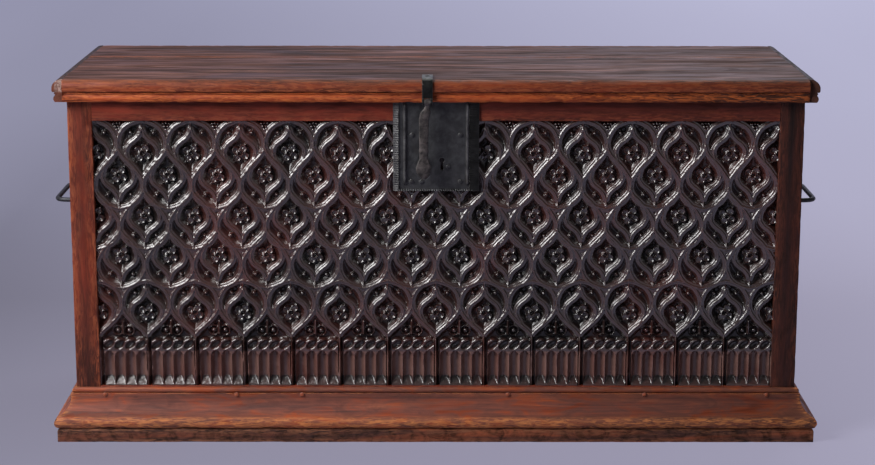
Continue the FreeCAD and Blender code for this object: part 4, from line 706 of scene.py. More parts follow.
def panel_height(across, down):
    """Relief over the whole panel: the tile of one bay, read at slightly warped places, with tool marks."""
    tile_across, tile_down = np.meshgrid(np.arange(0, BAY + TILE_STEP, TILE_STEP),
                                         np.arange(0, PANEL_HEIGHT + TILE_STEP, TILE_STEP))
    cells = tracery_relief(tile_across, tile_down)
    arcade = np.maximum(cells, arcade_relief(tile_across, tile_down))
    tile = np.where(tile_down < ROW_DEPTHS[-1], cells, arcade)
    moved = []
    for seed, (place, turns) in enumerate(zip((across, down), WARP_TURNS), start=1):
        moved.append(place + WARP * (2 * ripple(across / BAY * turns[0], down / BAY * turns[1], seed) - 1))
    column = np.mod(moved[0], BAY) / TILE_STEP
    row = np.clip(moved[1] / TILE_STEP, 0, tile.shape[0] - 1)
    left = np.minimum(column.astype(int), tile.shape[1] - 2)
    above = np.minimum(row.astype(int), tile.shape[0] - 2)
    share_x, share_y = column - left, row - above
    upper = tile[above, left] * (1 - share_x) + tile[above, left + 1] * share_x
    lower = tile[above + 1, left] * (1 - share_x) + tile[above + 1, left + 1] * share_x
    turn = 2 * math.pi / TOOL_PITCH
    marks = TOOL_MARK * (2 * ripple(across * turn, down * turn, 3) - 1)
    return upper * (1 - share_y) + lower * share_y + marks


def carved_panel():
    """Closed panel with the whole carving in its face, and a mortise for the lock."""
    columns = BAY_COUNT * BAY_COLUMNS
    across, down = np.meshgrid(np.linspace(0, PANEL_RIGHT - PANEL_LEFT, columns + 1),
                               np.linspace(0, PANEL_HEIGHT, PANEL_ROWS + 1))
    x, z = PANEL_LEFT + across, PANEL_TOP - down
    low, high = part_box("lock_bolt")
    spring_low, spring_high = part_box("lock_spring")
    inside = (x > min(low.x, spring_low.x) - MORTISE_MARGIN) & (x < high.x + MORTISE_MARGIN)
    inside &= (z > low.z - MORTISE_MARGIN) & (z < spring_high.z + MORTISE_MARGIN)
    depth = np.where(inside, MORTISE_FLOOR, RELIEF - panel_height(across, down))
    front = np.stack([x, PANEL_FACE + depth, z], axis=-1).reshape(-1, 3)
    wide = columns + 1
    index, quads = grid_faces(PANEL_ROWS + 1, wide)
    back = np.vstack([front[:wide], front[-wide:]])
    back[:, 1] = PANEL_BACK
    top = np.arange(wide) + len(front)
    foot = top + wide
    faces = quads.tolist()
    for step in range(columns):
        faces.append((index[0, step], index[0, step + 1], top[step + 1], top[step]))
        faces.append((index[-1, step + 1], index[-1, step], foot[step], foot[step + 1]))
        faces.append((top[step], top[step + 1], foot[step + 1], foot[step]))
    faces.append([*index[::-1, 0].tolist(), top[0], foot[0]])
    faces.append([*index[:, -1].tolist(), foot[-1], top[-1]])
    # Painted shade: the tone falls from the crests to the ground of the carving, where the material darkens
    # it; the niches keep a lighter tone.
    shade_tone = CREST_SHARE * np.clip(1 - depth / RELIEF, 0, 1)
    shade_tone = np.where((down > NICHE_HEAD) & (down < SILL_TOP), np.maximum(shade_tone, NICHE_SHARE), shade_tone)
    relief = np.concatenate([shade_tone.reshape(-1), np.full(2 * wide, BACK_SHARE)])
    make_piece("carved_panel", np.vstack([front, back]), faces, "carcass", "carved_wood", CARVED_WOOD,
               ["front_carved_panel"], sharp=70, relief=relief)


# Wear and unevenness of strips and boards. Pitches are those of the ripple along a strip and across it.
WEAR_SPAN = 0.0055
WEAR_TURN = 1.1
TURN_LIMITS = (-0.3, 2)
END_WEAR_SPAN = 0.005
CHIP_DEPTH = 0.0011
CHIP_PITCHES = (160, 0.7)
CHIP_LEVEL = 0.55
CHIP_RANGE = 0.3
WAVE_DEPTH = 0.0003
WAVE_PITCHES = (14, 40)
STATION_STEP = 0.009
BOARD_EDGE = 0.0014
BOARD_DIVISION = 0.03
BOARD_CHIPS = 0.5
CORNER_STEPS = 4

# Lid.
NOSE_RADIUS = 0.0135
NOSE_STEPS = 9
ARRIS_RADIUS = 0.003
ARRIS_STEPS = 5
SEAM_RADIUS = 0.0009
SEAM_STEPS = 3
LID_DIVISION = 0.014
BEAD_STEPS = 7
RIM_INSET = 0.0045
SMALL_BEAD = 0.004
QUIRK = 0.001
SMALL_BEAD_RADIUS = 0.00224
LARGE_BEAD_RADIUS = 0.009
RETURN_WEAR_SHARE = 0.4

# Plinth.
BEAD_REACH = 0.004
BEAD_HEIGHT = 0.0095
BEAD_RADIUS = 0.0053
BEAD_WEAR_SHARE = 0.1
BAND_REACH = 0.0085
BAND_HEIGHT = 0.008
NOSE_ROOT = 0.0303
PLINTH_NOSE_HEIGHT = 0.019
NOSE_ARC_SHARE = 0.58
CAVETTO_ARC_SHARE = 1.25
CAVETTO_STEPS = 14
FILLET_ROUND = 0.0065
MITRE_WEAR_SHARE = 0.9
MOULDING_CHIPS = 1.4
FILLET_CHIPS = 0.4


# Strips and boards.
def arc(middle, radius, start, end, count):
    """Points of a round stretch of a section, between two angles in degrees."""
    angles = np.radians(np.linspace(start, end, count))
    return [(middle[0] + radius * math.cos(a), middle[1] + radius * math.sin(a)) for a in angles]


def bulge(start, end, radius, count):
    """Round stretch between two points of a section, to the right of the way from start to end."""
    start, end = np.array(start), np.array(end)
    half = (end - start) / 2
    rise = math.sqrt(max(radius ** 2 - half @ half, 0))
    right = np.array([half[1], -half[0]]) / np.linalg.norm(half)
    middle = start + half - right * rise
    first, last = start - middle, end - middle
    begin = math.atan2(first[1], first[0])
    turn = math.atan2(first[0] * last[1] - first[1] * last[0], first @ last)
    angles = begin + turn * np.linspace(0, 1, count)
    return [tuple(middle + radius * np.array([math.cos(a), math.sin(a)])) for a in angles]


def divided(points, longest):
    """The same closed section, with long straight stretches divided."""
    finer = []
    for start, end in zip(points, points[1:] + points[:1]):
        count = max(1, int(math.ceil(math.dist(start, end) / longest)))
        for step in range(count):
            finer.append(tuple(a + (b - a) * step / count for a, b in zip(start, end)))
    return finer


def section_wear(ring):
    """Wear of 0 to 1 on the round and sharp outer parts of a section, and its outward directions."""
    before, after = np.roll(ring, 1, axis=0), np.roll(ring, -1, axis=0)
    into, out = ring - before, after - ring
    turn = np.arctan2(into[:, 0] * out[:, 1] - into[:, 1] * out[:, 0], (into * out).sum(1))
    area = np.sum(ring[:, 0] * np.roll(ring[:, 1], -1) - ring[:, 1] * np.roll(ring[:, 0], -1))
    turn = np.clip(turn * np.sign(area), *TURN_LIMITS)
    near = np.exp(-(np.linalg.norm(ring[:, None] - ring[None], axis=2) / WEAR_SPAN) ** 2)
    wear = np.clip((near * turn[None]).sum(1) / WEAR_TURN, 0, 1)
    way = after - before
    outward = np.stack([way[:, 1], -way[:, 0]], axis=1) * np.sign(area)
    return wear, outward / np.maximum(np.linalg.norm(outward, axis=1, keepdims=True), TINY)


def swept(name, ring, starts, ends, axis, body, slot, material, replaced, seed, chips=1.0, rubbed=1.0,
          end_wear=0.0):
    """Strip with one section along an axis. Each point of the section has its own start and end on it.

    Rubbed scales the wear, for the whole section or point by point. End wear is the wear at both ends.
    """
    ring = np.array(ring)
    wear, outward = section_wear(ring)
    wear = wear * rubbed
    starts = np.broadcast_to(np.array(starts, float), (len(ring),))
    ends = np.broadcast_to(np.array(ends, float), (len(ring),))
    stations = max(2, int(np.max(np.abs(ends - starts)) / STATION_STEP)) + 1
    along = starts[None] + (ends - starts)[None] * np.linspace(0, 1, stations)[:, None]
    around = np.arange(len(ring))[None]
    flaws = ripple(along * CHIP_PITCHES[0], around * CHIP_PITCHES[1], seed)
    chip = np.clip((flaws - CHIP_LEVEL) / CHIP_RANGE, 0, 1) * wear[None] * CHIP_DEPTH * chips
    wave = ripple(along * WAVE_PITCHES[0], ring[None, :, 0] * WAVE_PITCHES[1], seed + 1) - 0.5
    section = ring[None] - outward[None] * (chip + WAVE_DEPTH * wave)[:, :, None]
    points = np.insert(section, axis, along, axis=2)
    from_end = np.minimum(np.abs(along - starts[None]), np.abs(along - ends[None]))
    values = np.maximum(wear[None], end_wear * np.exp(-from_end / END_WEAR_SPAN))
    make_piece(name, points.reshape(-1, 3), ring_faces(stations, len(ring)), body, slot, material, replaced,
               sharp=38, wear=values.reshape(-1))


def rounded_section(low, high, radius):
    """Rectangle with rounded corners, counter-clockwise."""
    inner_low = [value + radius for value in low]
    inner_high = [value - radius for value in high]
    middles = (inner_high, (inner_low[0], inner_high[1]), inner_low, (inner_high[0], inner_low[1]))
    ring = []
    for quarter, middle in enumerate(middles):
        ring += arc(middle, radius, quarter * 90, quarter * 90 + 90, CORNER_STEPS)
    return ring


def board(name, low, high, axis, body, slot, material, replaced, seed):
    """Straight board with softened edges."""
    first, second = [index for index in range(3) if index != axis]
    ring = rounded_section((low[first], low[second]), (high[first], high[second]), BOARD_EDGE)
    swept(name, divided(ring, BOARD_DIVISION), low[axis], high[axis], axis, body, slot, material, replaced,
          seed, chips=BOARD_CHIPS)


def front_frame():
    """Stiles and rails round the carving."""
    # The right stile takes the darker copy of the stile wood as painted shade.
    for side, seed, material in (("left", 1, STILE_WOOD), ("right", 2, SHADED_STILE_WOOD)):
        node = f"front_{side}_stile"
        board(f"{side}_stile", *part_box(node), 2, "carcass", "frame_wood", material, [node], seed)
    for place, seed in (("top", 3), ("bottom", 4)):
        node = f"front_{place}_rail"
        low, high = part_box(node)
        low.x, high.x = PANEL_LEFT, PANEL_RIGHT
        board(f"{place}_rail", low, high, 0, "carcass", "frame_wood", RAIL_WOOD, [node], seed)


def lid_nose(front):
    """Section of the lid's edge from the flat top over the nose to the underside, as (across, height)."""
    top, under = LID_HIGH.z, LID_LOW.z
    points = bulge((front + NOSE_RADIUS, top), (front, top - NOSE_RADIUS), NOSE_RADIUS, NOSE_STEPS)
    points += bulge((front, under + ARRIS_RADIUS), (front + ARRIS_RADIUS, under), ARRIS_RADIUS, ARRIS_STEPS)
    return points


def lid_beads(front):
    """Section of the two beads under the lid's edge."""
    face = front + RIM_INSET
    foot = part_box("lid_front_rim")[0].z
    small_foot = LID_LOW.z - SMALL_BEAD
    points = bulge((face, LID_LOW.z), (face, small_foot), SMALL_BEAD_RADIUS, BEAD_STEPS)
    return points + bulge((face, small_foot - QUIRK), (face, foot), LARGE_BEAD_RADIUS, BEAD_STEPS)


def lid():
    """Two boards, the beaded rim under the front and a moulded strip along each end."""
    ring = lid_nose(LID_LOW.y)
    edge = LID_SEAM - SEAM_RADIUS
    ring += arc((edge, LID_LOW.z + SEAM_RADIUS), SEAM_RADIUS, 270, 360, SEAM_STEPS)
    ring += arc((edge, LID_HIGH.z - SEAM_RADIUS), SEAM_RADIUS, 0, 90, SEAM_STEPS)
    ring = divided(ring, LID_DIVISION)
    at_nose = np.array([point[0] < LID_LOW.y + NOSE_RADIUS for point in ring])
    swept("lid_front_board", ring, LID_LOW.x, LID_HIGH.x, 0, "lid", "lid_wood", LID_WOOD,
          ["lid_front_plank"], 5, rubbed=at_nose)
    low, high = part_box("lid_rear_plank")
    low.y = LID_SEAM
    board("lid_rear_board", low, high, 0, "lid", "lid_wood", LID_WOOD, ["lid_rear_plank"], 6)
    low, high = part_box("lid_front_rim")
    ring = lid_beads(LID_LOW.y) + [(high.y, low.z), (high.y, high.z)]
    swept("lid_rim", ring, low.x, high.x, 0, "lid", "lid_edge_wood", EDGE_WOOD, ["lid_front_rim"], 7)
    front = np.array(lid_nose(LID_LOW.y) + lid_beads(LID_LOW.y))
    front = front[np.argsort(front[:, 1])]
    for side, sign, seed, material in (("left", -1, 8, WORN_RETURN_WOOD), ("right", 1, 9, RETURN_WOOD)):
        node = f"lid_{side}_moulding"
        low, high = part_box(node)
        outer, inner = (low.x, high.x) if sign < 0 else (-high.x, -low.x)
        ring = lid_nose(outer) + lid_beads(outer) + [(inner, low.z), (inner, high.z)]
        ring = [(-sign * x, z) for x, z in divided(ring, LID_DIVISION)]
        starts = np.interp([point[1] for point in ring], front[:, 1], front[:, 0])
        swept(f"lid_{side}_strip", ring, starts, high.y, 1, "lid", "lid_edge_wood", material, [node], seed,
              rubbed=RETURN_WEAR_SHARE)


def moulding_section():
    """Section of the plinth's moulding as (distance out from the body, height), from its foot upwards."""
    foot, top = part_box("plinth_front_moulding")[0].z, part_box("plinth_front_moulding")[1].z
    band_top = top - BEAD_HEIGHT
    band_foot = band_top - BAND_HEIGHT
    nose_top = foot + PLINTH_NOSE_HEIGHT
    ring = [(0, foot)]
    ring += bulge((NOSE_ROOT, foot), (NOSE_ROOT, nose_top), NOSE_ARC_SHARE * PLINTH_NOSE_HEIGHT, NOSE_STEPS)
    cavetto_radius = CAVETTO_ARC_SHARE * (band_foot - nose_top)
    ring += bulge((BAND_REACH, band_foot), (NOSE_ROOT, nose_top), cavetto_radius, CAVETTO_STEPS)[::-1][1:]
    ring += [(BAND_REACH, band_top)]
    ring += bulge((BEAD_REACH, band_top), (BEAD_REACH, top), BEAD_RADIUS, BEAD_STEPS)
    return divided(ring + [(0, top)], LID_DIVISION)


def fillet_section():
    """Section of the plain strip under the moulding."""
    low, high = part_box("plinth_front_fillet")
    reach = BODY_FRONT - low.y
    ring = [(0, low.z), (reach, low.z)]
    ring += arc((reach - FILLET_ROUND, high.z - FILLET_ROUND), FILLET_ROUND, 0, 90, BEAD_STEPS)
    return divided(ring + [(0, high.z)], LID_DIVISION)


def plinth():
    """Moulding and fillet along the front, with mitred returns along both ends."""
    for kind, section, chips, front_wood, side_wood in (
        ("moulding", moulding_section(), MOULDING_CHIPS, PLINTH_WOOD, PLINTH_SIDE_WOOD),
        ("fillet", fillet_section(), FILLET_CHIPS, FILLET_WOOD, FILLET_SIDE_WOOD),
    ):
        out = np.array([point[0] for point in section])
        wear = {"chips": chips, "rubbed": np.where(out > BAND_REACH, 1, BEAD_WEAR_SHARE),
                "end_wear": MITRE_WEAR_SHARE}
        ring = [(BODY_FRONT - point[0], point[1]) for point in section]
        swept(f"plinth_{kind}", ring, -BODY_HALF - out, BODY_HALF + out, 0, "carcass", "plinth_wood",
              front_wood, [f"plinth_front_{kind}"], 10, **wear)
        for side, sign, seed in (("left", -1, 11), ("right", 1, 12)):
            ring = [(sign * (BODY_HALF + point[0]), point[1]) for point in section]
            swept(f"plinth_{side}_{kind}_return", ring, BODY_FRONT - out, BODY_BACK, 1, "carcass",
                  "plinth_wood", side_wood, [f"plinth_{side}_{kind}"], seed, **wear)


# Nail heads. The rings of a head are shares of its radius and height.
NAIL_HEIGHT = 0.0015
NAIL_TURN = 1.3
ROSE_SIDES = 9
ROSE_RING_SHARES = ((1.0, 0.0), (1.02, 0.3), (0.78, 0.62), (0.36, 0.92))
ROSE_UNEVEN_SHARE = 0.09
ROSE_TURNS = (3.1, 5.3)

# Lock plate's border and rolls.
BORDER_RISE = 0.0030
BORDER_LIP = 0.0004
BORDER_SINK = 0.0008
BORDER_GROOVE = 0.0075
BORDER_COLUMNS = 6
FOOT_BORDER = 0.0036
TOOTH_PITCH = 0.0040
TOOTH_STEP = 0.0008
TOOTH_SHARE = 0.55
ROLL_STEPS = 40
ROLL_SIDES = 20
ROLL_END_SHARE = 0.25
ROLL_RISE_SHARE = 1.5

# Stations of the hasp's arm, from its eye to its foot: share of the length, half width, and ridge height.
ARM_STATIONS = ((0.03, 0.0042, 0.0004), (0.09, 0.0046, 0.0006), (0.12, 0.0082, 0.0012),
                (0.16, 0.0088, 0.0010), (0.19, 0.0082, 0.0008), (0.40, 0.0080, 0.0009),
                (0.60, 0.0074, 0.0009), (0.64, 0.0084, 0.0014), (0.67, 0.0070, 0.0006),
                (0.70, 0.0080, 0.0014), (0.73, 0.0072, 0.0008), (0.80, 0.0110, 0.0016),
                (0.86, 0.0134, 0.0020), (0.92, 0.0122, 0.0018), (0.97, 0.0078, 0.0012),
                (1.0, 0.0040, 0.0004))
ARM_BEND_SHARES = (0.05, 0.22)
ARM_RIDGE_SHARES = (0.4, 0.7)
ARM_STEPS = 90
ARM_CHAMFER = 0.0012
HASP_EYE_SIDES = 32

# Bails. The bends are shares of the bail's reach, out from the end and inwards along the bail.
BAIL_SIDES = 18
BAIL_STEPS = 8
BAIL_BEND_SHARES = ((0.08, 0.06), (0.22, 0.0), (0.62, 0.03), (0.86, 0.16), (0.97, 0.36), (1.0, 0.62))
BAIL_SLIM_SHARE = 0.94
BAIL_SWELL_SHARE = 0.12
BAIL_SWELL_TURN = 3.2
BAIL_PIVOT_SHARE = 0.97


# Ironwork.
def tube(path, radii, sides):
    """Points and faces of a round bar along a path, with its own radius at each point."""
    path = np.array(path, float)
    points = []
    side = Vector(path[1] - path[0]).orthogonal()
    for index, place in enumerate(path):
        way = Vector(path[min(index + 1, len(path) - 1)] - path[max(index - 1, 0)]).normalized()
        side = (side - way * side.dot(way)).normalized()
        other = way.cross(side)
        for spot in range(sides):
            angle = 2 * math.pi * spot / sides
            points.append(Vector(place) + (side * math.cos(angle) + other * math.sin(angle)) * radii[index])
    return points, ring_faces(len(path), sides)


def loose_boxes(node):
    """Lowest and highest corners of each separate solid in a CAD node."""
    mesh = frame["nodes"][node].data
    places = [tuple(round(value, PLACE_DIGITS) for value in vertex.co) for vertex in mesh.vertices]
    group = {place: place for place in places}

    def root(place):
        while group[place] != place:
            place = group[place]
        return place

    for face in mesh.polygons:
        spots = [places[index] for index in face.vertices]
        for spot in spots[1:]:
            group[root(spot)] = root(spots[0])
    sets = {}
    for place in set(places):
        sets.setdefault(root(place), []).append(place)
    return [(Vector(np.min(some, axis=0)), Vector(np.max(some, axis=0))) for some in sorted(sets.values())]


def joint_place(name):
    """Place of a joint's axis."""
    return next(item["pos_m"] for item in frame["joints"] if item["name"] == name)


def rose_head(place, outward, radius, turn):
    """Forged nail head: a low uneven pyramid over a round rim."""
    side = outward.orthogonal().normalized()
    other = outward.cross(side)
    points = []
    for ring, (reach, rise) in enumerate(ROSE_RING_SHARES):
        for spot in range(ROSE_SIDES):
            angle = 2 * math.pi * spot / ROSE_SIDES + turn
            uneven = 1 + ROSE_UNEVEN_SHARE * math.sin(ROSE_TURNS[0] * spot + turn * ROSE_TURNS[1] + ring)
            way = side * math.cos(angle) + other * math.sin(angle)
            points.append(place + way * radius * reach * uneven + outward * NAIL_HEIGHT * rise)
    points.append(place + outward * NAIL_HEIGHT)
    *faces, last = ring_faces(len(ROSE_RING_SHARES), ROSE_SIDES)
    tip = len(points) - 1
    return points, faces + [(spot, after, tip) for spot, after in zip(last, last[1:] + last[:1])]


def nail_heads(name, node, body, material):
    """Rose heads in place of one node's nails, each at the head end of its nail."""
    heads = []
    for index, (low, high) in enumerate(loose_boxes(node)):
        size = high - low
        axis = max(range(3), key=lambda k: size[k])
        middle = (low + high) / 2
        inside = Vector((0, 0, LID_LOW.z if "lid" in node else middle.z))
        outward = Vector((0, 0, 0))
        outward[axis] = 1.0 if middle[axis] > inside[axis] else -1.0
        if "strap" in node:
            outward = Vector((0, 0, -1))
        place = middle.copy()
        place[axis] = (high[axis] if outward[axis] > 0 else low[axis]) - outward[axis] * NAIL_HEIGHT
        heads.append(rose_head(place, outward, min(size) / 2, index * NAIL_TURN))
    make_piece(name, *joined(heads), body, "wrought_iron", material, [node], sharp=28)


def border(name, xs, zs, rises, material, replaced=()):
    """Closed low relief on the lock plate: a grid of places with their rises, over a flat back."""
    places_x, places_z = np.meshgrid(xs, zs)
    face = np.stack([places_x, PLATE_FACE - rises, places_z], axis=-1).reshape(-1, 3)
    back = face.copy()
    back[:, 1] = PLATE_FACE + BORDER_SINK
    count = len(face)
    index, quads = grid_faces(len(zs), len(xs))
    faces = quads.tolist() + (quads[:, ::-1] + count).tolist()
    rim = [*index[0, :], *index[1:, -1], *index[-1, -2::-1], *index[-2:0:-1, 0]]
    for here, there in zip(rim, rim[1:] + rim[:1]):
        faces.append((here, here + count, there + count, there))
    make_piece(name, np.vstack([face, back]), faces, "carcass", "wrought_iron", material, replaced,
               sharp=50)


def teeth(places):
    """Rise of 0 to 1 of file-cut teeth along an edge."""
    return 1 - TOOTH_SHARE * (0.5 + 0.5 * np.cos(2 * math.pi * places / TOOTH_PITCH)) ** 2


def lock():
    """Toothed borders and upright rolls of the lock plate, with painted light and shade on the borders."""
    low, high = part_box("lock_plate_border")
    rib_low, rib_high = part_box("lock_plate_ribs")
    inside = rib_low.x - BORDER_GROOVE
    zs = np.arange(low.z, high.z, TOOTH_STEP)
    slope = np.linspace(BORDER_LIP, BORDER_RISE, BORDER_COLUMNS)
    rises = slope[None] * teeth(zs)[:, None]
    # Painted light: the left border, which faces the lamp, takes the bright iron.
    border("lock_left_border", np.linspace(low.x, inside, BORDER_COLUMNS), zs, rises, BRIGHT_IRON,
           ["lock_plate_border"])
    # Painted shade: the right border, which faces away from the lamp, takes the near-black strap iron.
    border("lock_right_border", np.linspace(rib_high.x, high.x, BORDER_COLUMNS), zs, rises[:, ::-1],
           STRAP_AND_SHADE_IRON)
    xs = np.arange(inside, -inside, TOOTH_STEP)
    border("lock_foot_border", xs, np.linspace(low.z, low.z + FOOT_BORDER, BORDER_COLUMNS),
           slope[::-1, None] * teeth(xs)[None], IRON)
    rolls = []
    for low, high in loose_boxes("lock_plate_ribs"):
        radius = (high.x - low.x) / 2
        heights = np.linspace(low.z, high.z, ROLL_STEPS)
        from_end = np.minimum(heights - low.z, high.z - heights)
        ends = np.minimum(1, np.sqrt(from_end / (2 * radius)) + ROLL_END_SHARE)
        path = [((low.x + high.x) / 2, PLATE_FACE, height) for height in heights]
        rolls.append(tube(path, radius * ends, ROLL_SIDES))
    points, faces = joined(rolls)
    points = [(p.x, PLATE_FACE + (p.y - PLATE_FACE) * ROLL_RISE_SHARE, p.z) for p in points]
    make_piece("lock_plate_rolls", points, faces, "carcass", "wrought_iron", BRIGHT_IRON,
               ["lock_plate_ribs"], sharp=60)


def hasp():
    """Forged arm of the hasp with a ridge along its face, and its eye."""
    low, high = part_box("hasp_arm")
    loop_low, loop_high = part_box("hasp_loop")
    axis_x, axis_y, axis_z = joint_place("hasp_hinge")
    foot_x = (loop_low.x + loop_high.x) / 2
    back = loop_low.y
    front = 2 * axis_y - back
    stations = np.array(ARM_STATIONS)
    shoulder, ridge_share = ARM_RIDGE_SHARES
    points = []
    for share in np.linspace(stations[0, 0], 1, ARM_STEPS):
        wide, rise = [np.interp(share, stations[:, 0], stations[:, column]) for column in (1, 2)]
        z = axis_z + (low.z - axis_z) * share
        x = np.interp(share, ARM_BEND_SHARES, (axis_x, foot_x))
        half = [(wide, back), (wide, front + ARM_CHAMFER), (wide - ARM_CHAMFER, front),
                (wide * shoulder, front - rise * ridge_share)]
        section = [(-u, v) for u, v in half] + [(0, front - rise)] + half[::-1]
        points += [(x + u, v, z) for u, v in section]
    eye_half = ARM_STATIONS[0][1]
    eye = tube([(axis_x - eye_half, axis_y, axis_z), (axis_x + eye_half, axis_y, axis_z)],
               [high.z - axis_z] * 2, HASP_EYE_SIDES)
    points, faces = joined([(points, ring_faces(ARM_STEPS, len(section))), eye])
    make_piece("hasp_forged_arm", points, faces, "hasp", "wrought_iron", HASP_IRON, ["hasp_arm"], sharp=32)


def bails():
    """Bent round bars of the two handles, a little thicker at the grip."""
    for side in ("left", "right"):
        node = f"{side}_handle_bail"
        low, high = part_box(node)
        pivot_x, middle_y, level = joint_place(f"{side}_handle_hinge")
        bar = (high.z - low.z) / 2
        grip = (low.x + bar) if side == "left" else (high.x - bar)
        near, far = low.y + bar, high.y - bar
        staples = loose_boxes(f"{side}_handle_staples")
        inner_near = max(item[1].y for item in staples if item[1].y < middle_y)
        reach = grip - pivot_x
        corners = [(pivot_x, inner_near), (pivot_x, near + bar)]
        corners += [(pivot_x + u * reach, near + v * abs(reach)) for u, v in BAIL_BEND_SHARES]
        corners += [(grip, middle_y)]
        corners += [(x, 2 * middle_y - y) for x, y in corners[-2::-1]]
        path = smooth_path(corners, BAIL_STEPS)
        from_middle = (path[:, 1] - middle_y) / (far - near) * BAIL_SWELL_TURN
        shares = np.minimum(1, BAIL_SLIM_SHARE + BAIL_SWELL_SHARE * np.exp(-from_middle ** 2))
        shares = np.where(np.abs(path[:, 0] - pivot_x) < bar, BAIL_PIVOT_SHARE, shares)
        points, faces = tube([(x, y, level) for x, y in path], bar * shares, BAIL_SIDES)
        make_piece(f"{side}_bail", points, faces, f"{side}_bail", "wrought_iron", IRON, [node], sharp=60)


def dress_nodes():
    """Materials for the CAD pieces that stay."""
    kinds = ("hinge_leaf", "hinge_strap", "hinge_pin", "handle_staples", "handle_roses")
    pairs = [f"{side}_{kind}" for side in ("left", "right") for kind in kinds]
    finishes = {
        BOARD_WOOD: ["left_end_board", "right_end_board"],
        BACK_WOOD: ["back_lower_board", "back_upper_board"],
        INNER_WOOD: ["floor_front_board", "floor_rear_board"],
        BEARER_WOOD: ["floor_left_bearer", "floor_middle_bearer", "floor_right_bearer"],
        BRIGHT_IRON: ["hasp_pin", "lock_bolt", "lock_spring"],
        PLATE_IRON: ["lock_plate"],
        STRAP_AND_SHADE_IRON: ["hasp_lid_strap"],
        IRON: ["lock_bolt_keepers", "hasp_loop", *pairs],
    }
    for material, names in finishes.items():
        for name in names:
            slots = frame["nodes"][name].data.materials
            slots.clear()
            slots.append(material)


# Backdrop. The glow is what the camera and reflections see of it, from the near floor to the far wall.
FLOOR_HALF = 30.0
FLOOR_FRONT = -30.0
WALL_PLACE = 10.0
WALL_CURVE = 2.0
WALL_TOP = 9.0
CURVE_STEPS = 16
GLOW_HALF = 2.2
GLOW_NEAR = 0.8
GLOW_FAR = 7.2
GLOW_SHARE = 0.72
PAPER_ROUGHNESS = 0.9

# Lamps as name, place, size and power in watts.
LIGHTS = (
    ("key", (-1.78, -1.30, 1.80), 1.4, 78.0),
    ("fill", (2.2, -3.4, 1.6), 2.4, 5.0),
    ("back", (0.9, 2.0, 3.2), 2.2, 36.0),
)
LIGHT_AIM = Vector((0, 0, 0.35))
WORLD_STRENGTH = 0.12

# Camera, fitted to the photograph's frame of 875 by 465.
IMAGE_WIDTH = 875
FOCAL_PIXELS = 2099.7
SENSOR = 36.0
CAMERA_PLACE = (-0.0082, -3.7508, 1.1393)
CAMERA_PITCH = math.radians(12.296)
CAMERA_YAW = math.radians(0.175)
CAMERA_ROLL = math.radians(0.081)


# Stage, light and camera.
def backdrop_paper():
    """Pale paper that the lamps light, with a glow that only straight and mirrored rays see."""
    material, tree, shader = new_material("backdrop_paper")
    shader.inputs["Base Color"].default_value = linear(170, 168, 190)
    shader.inputs["Roughness"].default_value = PAPER_ROUGHNESS
    place = add(tree, "ShaderNodeSeparateXYZ", {0: add(tree, "ShaderNodeTexCoord").outputs["Object"]})
    across = span(tree, "Object", "X", -GLOW_HALF, GLOW_HALF)
    away = calc(tree, "ADD", place.outputs["Y"], place.outputs["Z"])
    away = add(tree, "ShaderNodeMapRange", {"Value": away, "From Min": GLOW_NEAR, "From Max": GLOW_FAR})
    depth = fade(tree, away.outputs[0], (0.0, 0.0), (0.17, 0.36), (0.45, 0.69), (1.0, 0.97))
    # Painted light on the backdrop: the glow is darker to the left of the chest and brighter to its right
    # and towards the wall.
    near_glow = ramp(tree, across, ((0.05, linear(168, 166, 188)), (0.25, linear(100, 98, 114)),
                                    (0.75, linear(182, 178, 204))))
    far_glow = ramp(tree, across, ((0.12, linear(169, 169, 197)), (0.88, linear(212, 212, 243))))
    glow_colour = mix(tree, depth, near_glow, far_glow)
    glow = add(tree, "ShaderNodeEmission", {"Color": glow_colour, "Strength": 1.0})
    rays = add(tree, "ShaderNodeLightPath").outputs
    straight = calc(tree, "MAXIMUM", rays["Is Camera Ray"], rays["Is Transmission Ray"])
    straight = calc(tree, "MAXIMUM", straight, rays["Is Glossy Ray"])
    seen = times(tree, straight, GLOW_SHARE)
    blend = add(tree, "ShaderNodeMixShader", {0: seen, 1: shader.outputs[0], 2: glow.outputs[0]})
    put(tree, tree.nodes["Material Output"].inputs["Surface"], blend.outputs[0])
    return material


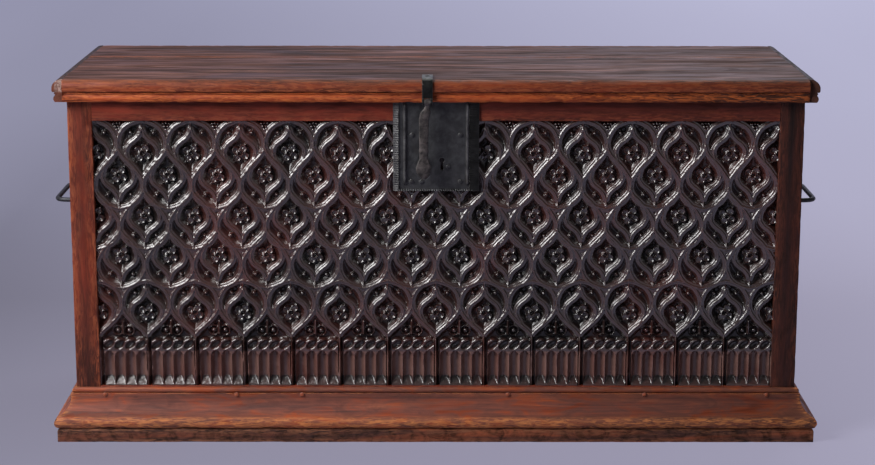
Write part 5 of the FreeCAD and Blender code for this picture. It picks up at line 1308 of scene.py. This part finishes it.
def stage():
    """Seamless pale backdrop that runs from the floor up behind the chest."""
    curve = arc((WALL_PLACE - WALL_CURVE, WALL_CURVE), WALL_CURVE, -90, 0, CURVE_STEPS + 1)
    profile = [(FLOOR_FRONT, 0), *curve, (WALL_PLACE, WALL_TOP)]
    points = [(x, y, z) for y, z in profile for x in (-FLOOR_HALF, FLOOR_HALF)]
    faces = [(2 * step, 2 * step + 1, 2 * step + 3, 2 * step + 2) for step in range(len(profile) - 1)]
    mesh = mesh_from("backdrop", points, faces)
    mesh.shade_smooth()
    mesh.materials.append(backdrop_paper())
    floor = bpy.data.objects.new("backdrop", mesh)
    bpy.context.scene.collection.objects.link(floor)


def lights():
    """Soft lamps and a dim even world."""
    for name, place, size, power in LIGHTS:
        lamp = bpy.data.lights.new(name, "AREA")
        lamp.shape = "DISK"
        lamp.size = size
        lamp.energy = power
        holder = bpy.data.objects.new(name, lamp)
        holder.location = place
        holder.rotation_euler = (LIGHT_AIM - Vector(place)).to_track_quat("-Z", "Y").to_euler()
        bpy.context.scene.collection.objects.link(holder)
    world = bpy.data.worlds.new("studio")
    world.use_nodes = True
    background = world.node_tree.nodes["Background"]
    background.inputs["Color"].default_value = linear(196, 192, 196)
    background.inputs["Strength"].default_value = WORLD_STRENGTH
    bpy.context.scene.world = world


def camera():
    """Camera at the photograph's place and angle."""
    lens = bpy.data.cameras.new("camera")
    lens.sensor_width = SENSOR
    lens.lens = FOCAL_PIXELS / IMAGE_WIDTH * SENSOR
    holder = bpy.data.objects.new("camera", lens)
    turn = (Matrix.Rotation(-CAMERA_YAW, 4, "Z") @ Matrix.Rotation(math.pi / 2 - CAMERA_PITCH, 4, "X")
            @ Matrix.Rotation(CAMERA_ROLL, 4, "Z"))
    holder.matrix_world = Matrix.Translation(CAMERA_PLACE) @ turn
    bpy.context.scene.collection.objects.link(holder)
    bpy.context.scene.camera = holder


carved_panel()
front_frame()
lid()
plinth()
lock()
hasp()
bails()
nail_heads("lock_nail_heads", "lock_plate_nails", "carcass", PLATE_IRON)
nail_heads("plinth_nail_heads", "plinth_nails", "carcass", RUSTED_IRON)
nail_heads("hinge_leaf_nail_heads", "hinge_leaf_nails", "carcass", IRON)
nail_heads("hinge_strap_nail_heads", "hinge_strap_nails", "lid", IRON)
nail_heads("hasp_nail_heads", "hasp_lid_nails", "lid", BRIGHT_IRON)
dress_nodes()
stage()
lights()
camera()
bpy.context.scene.view_settings.view_transform = "Standard"
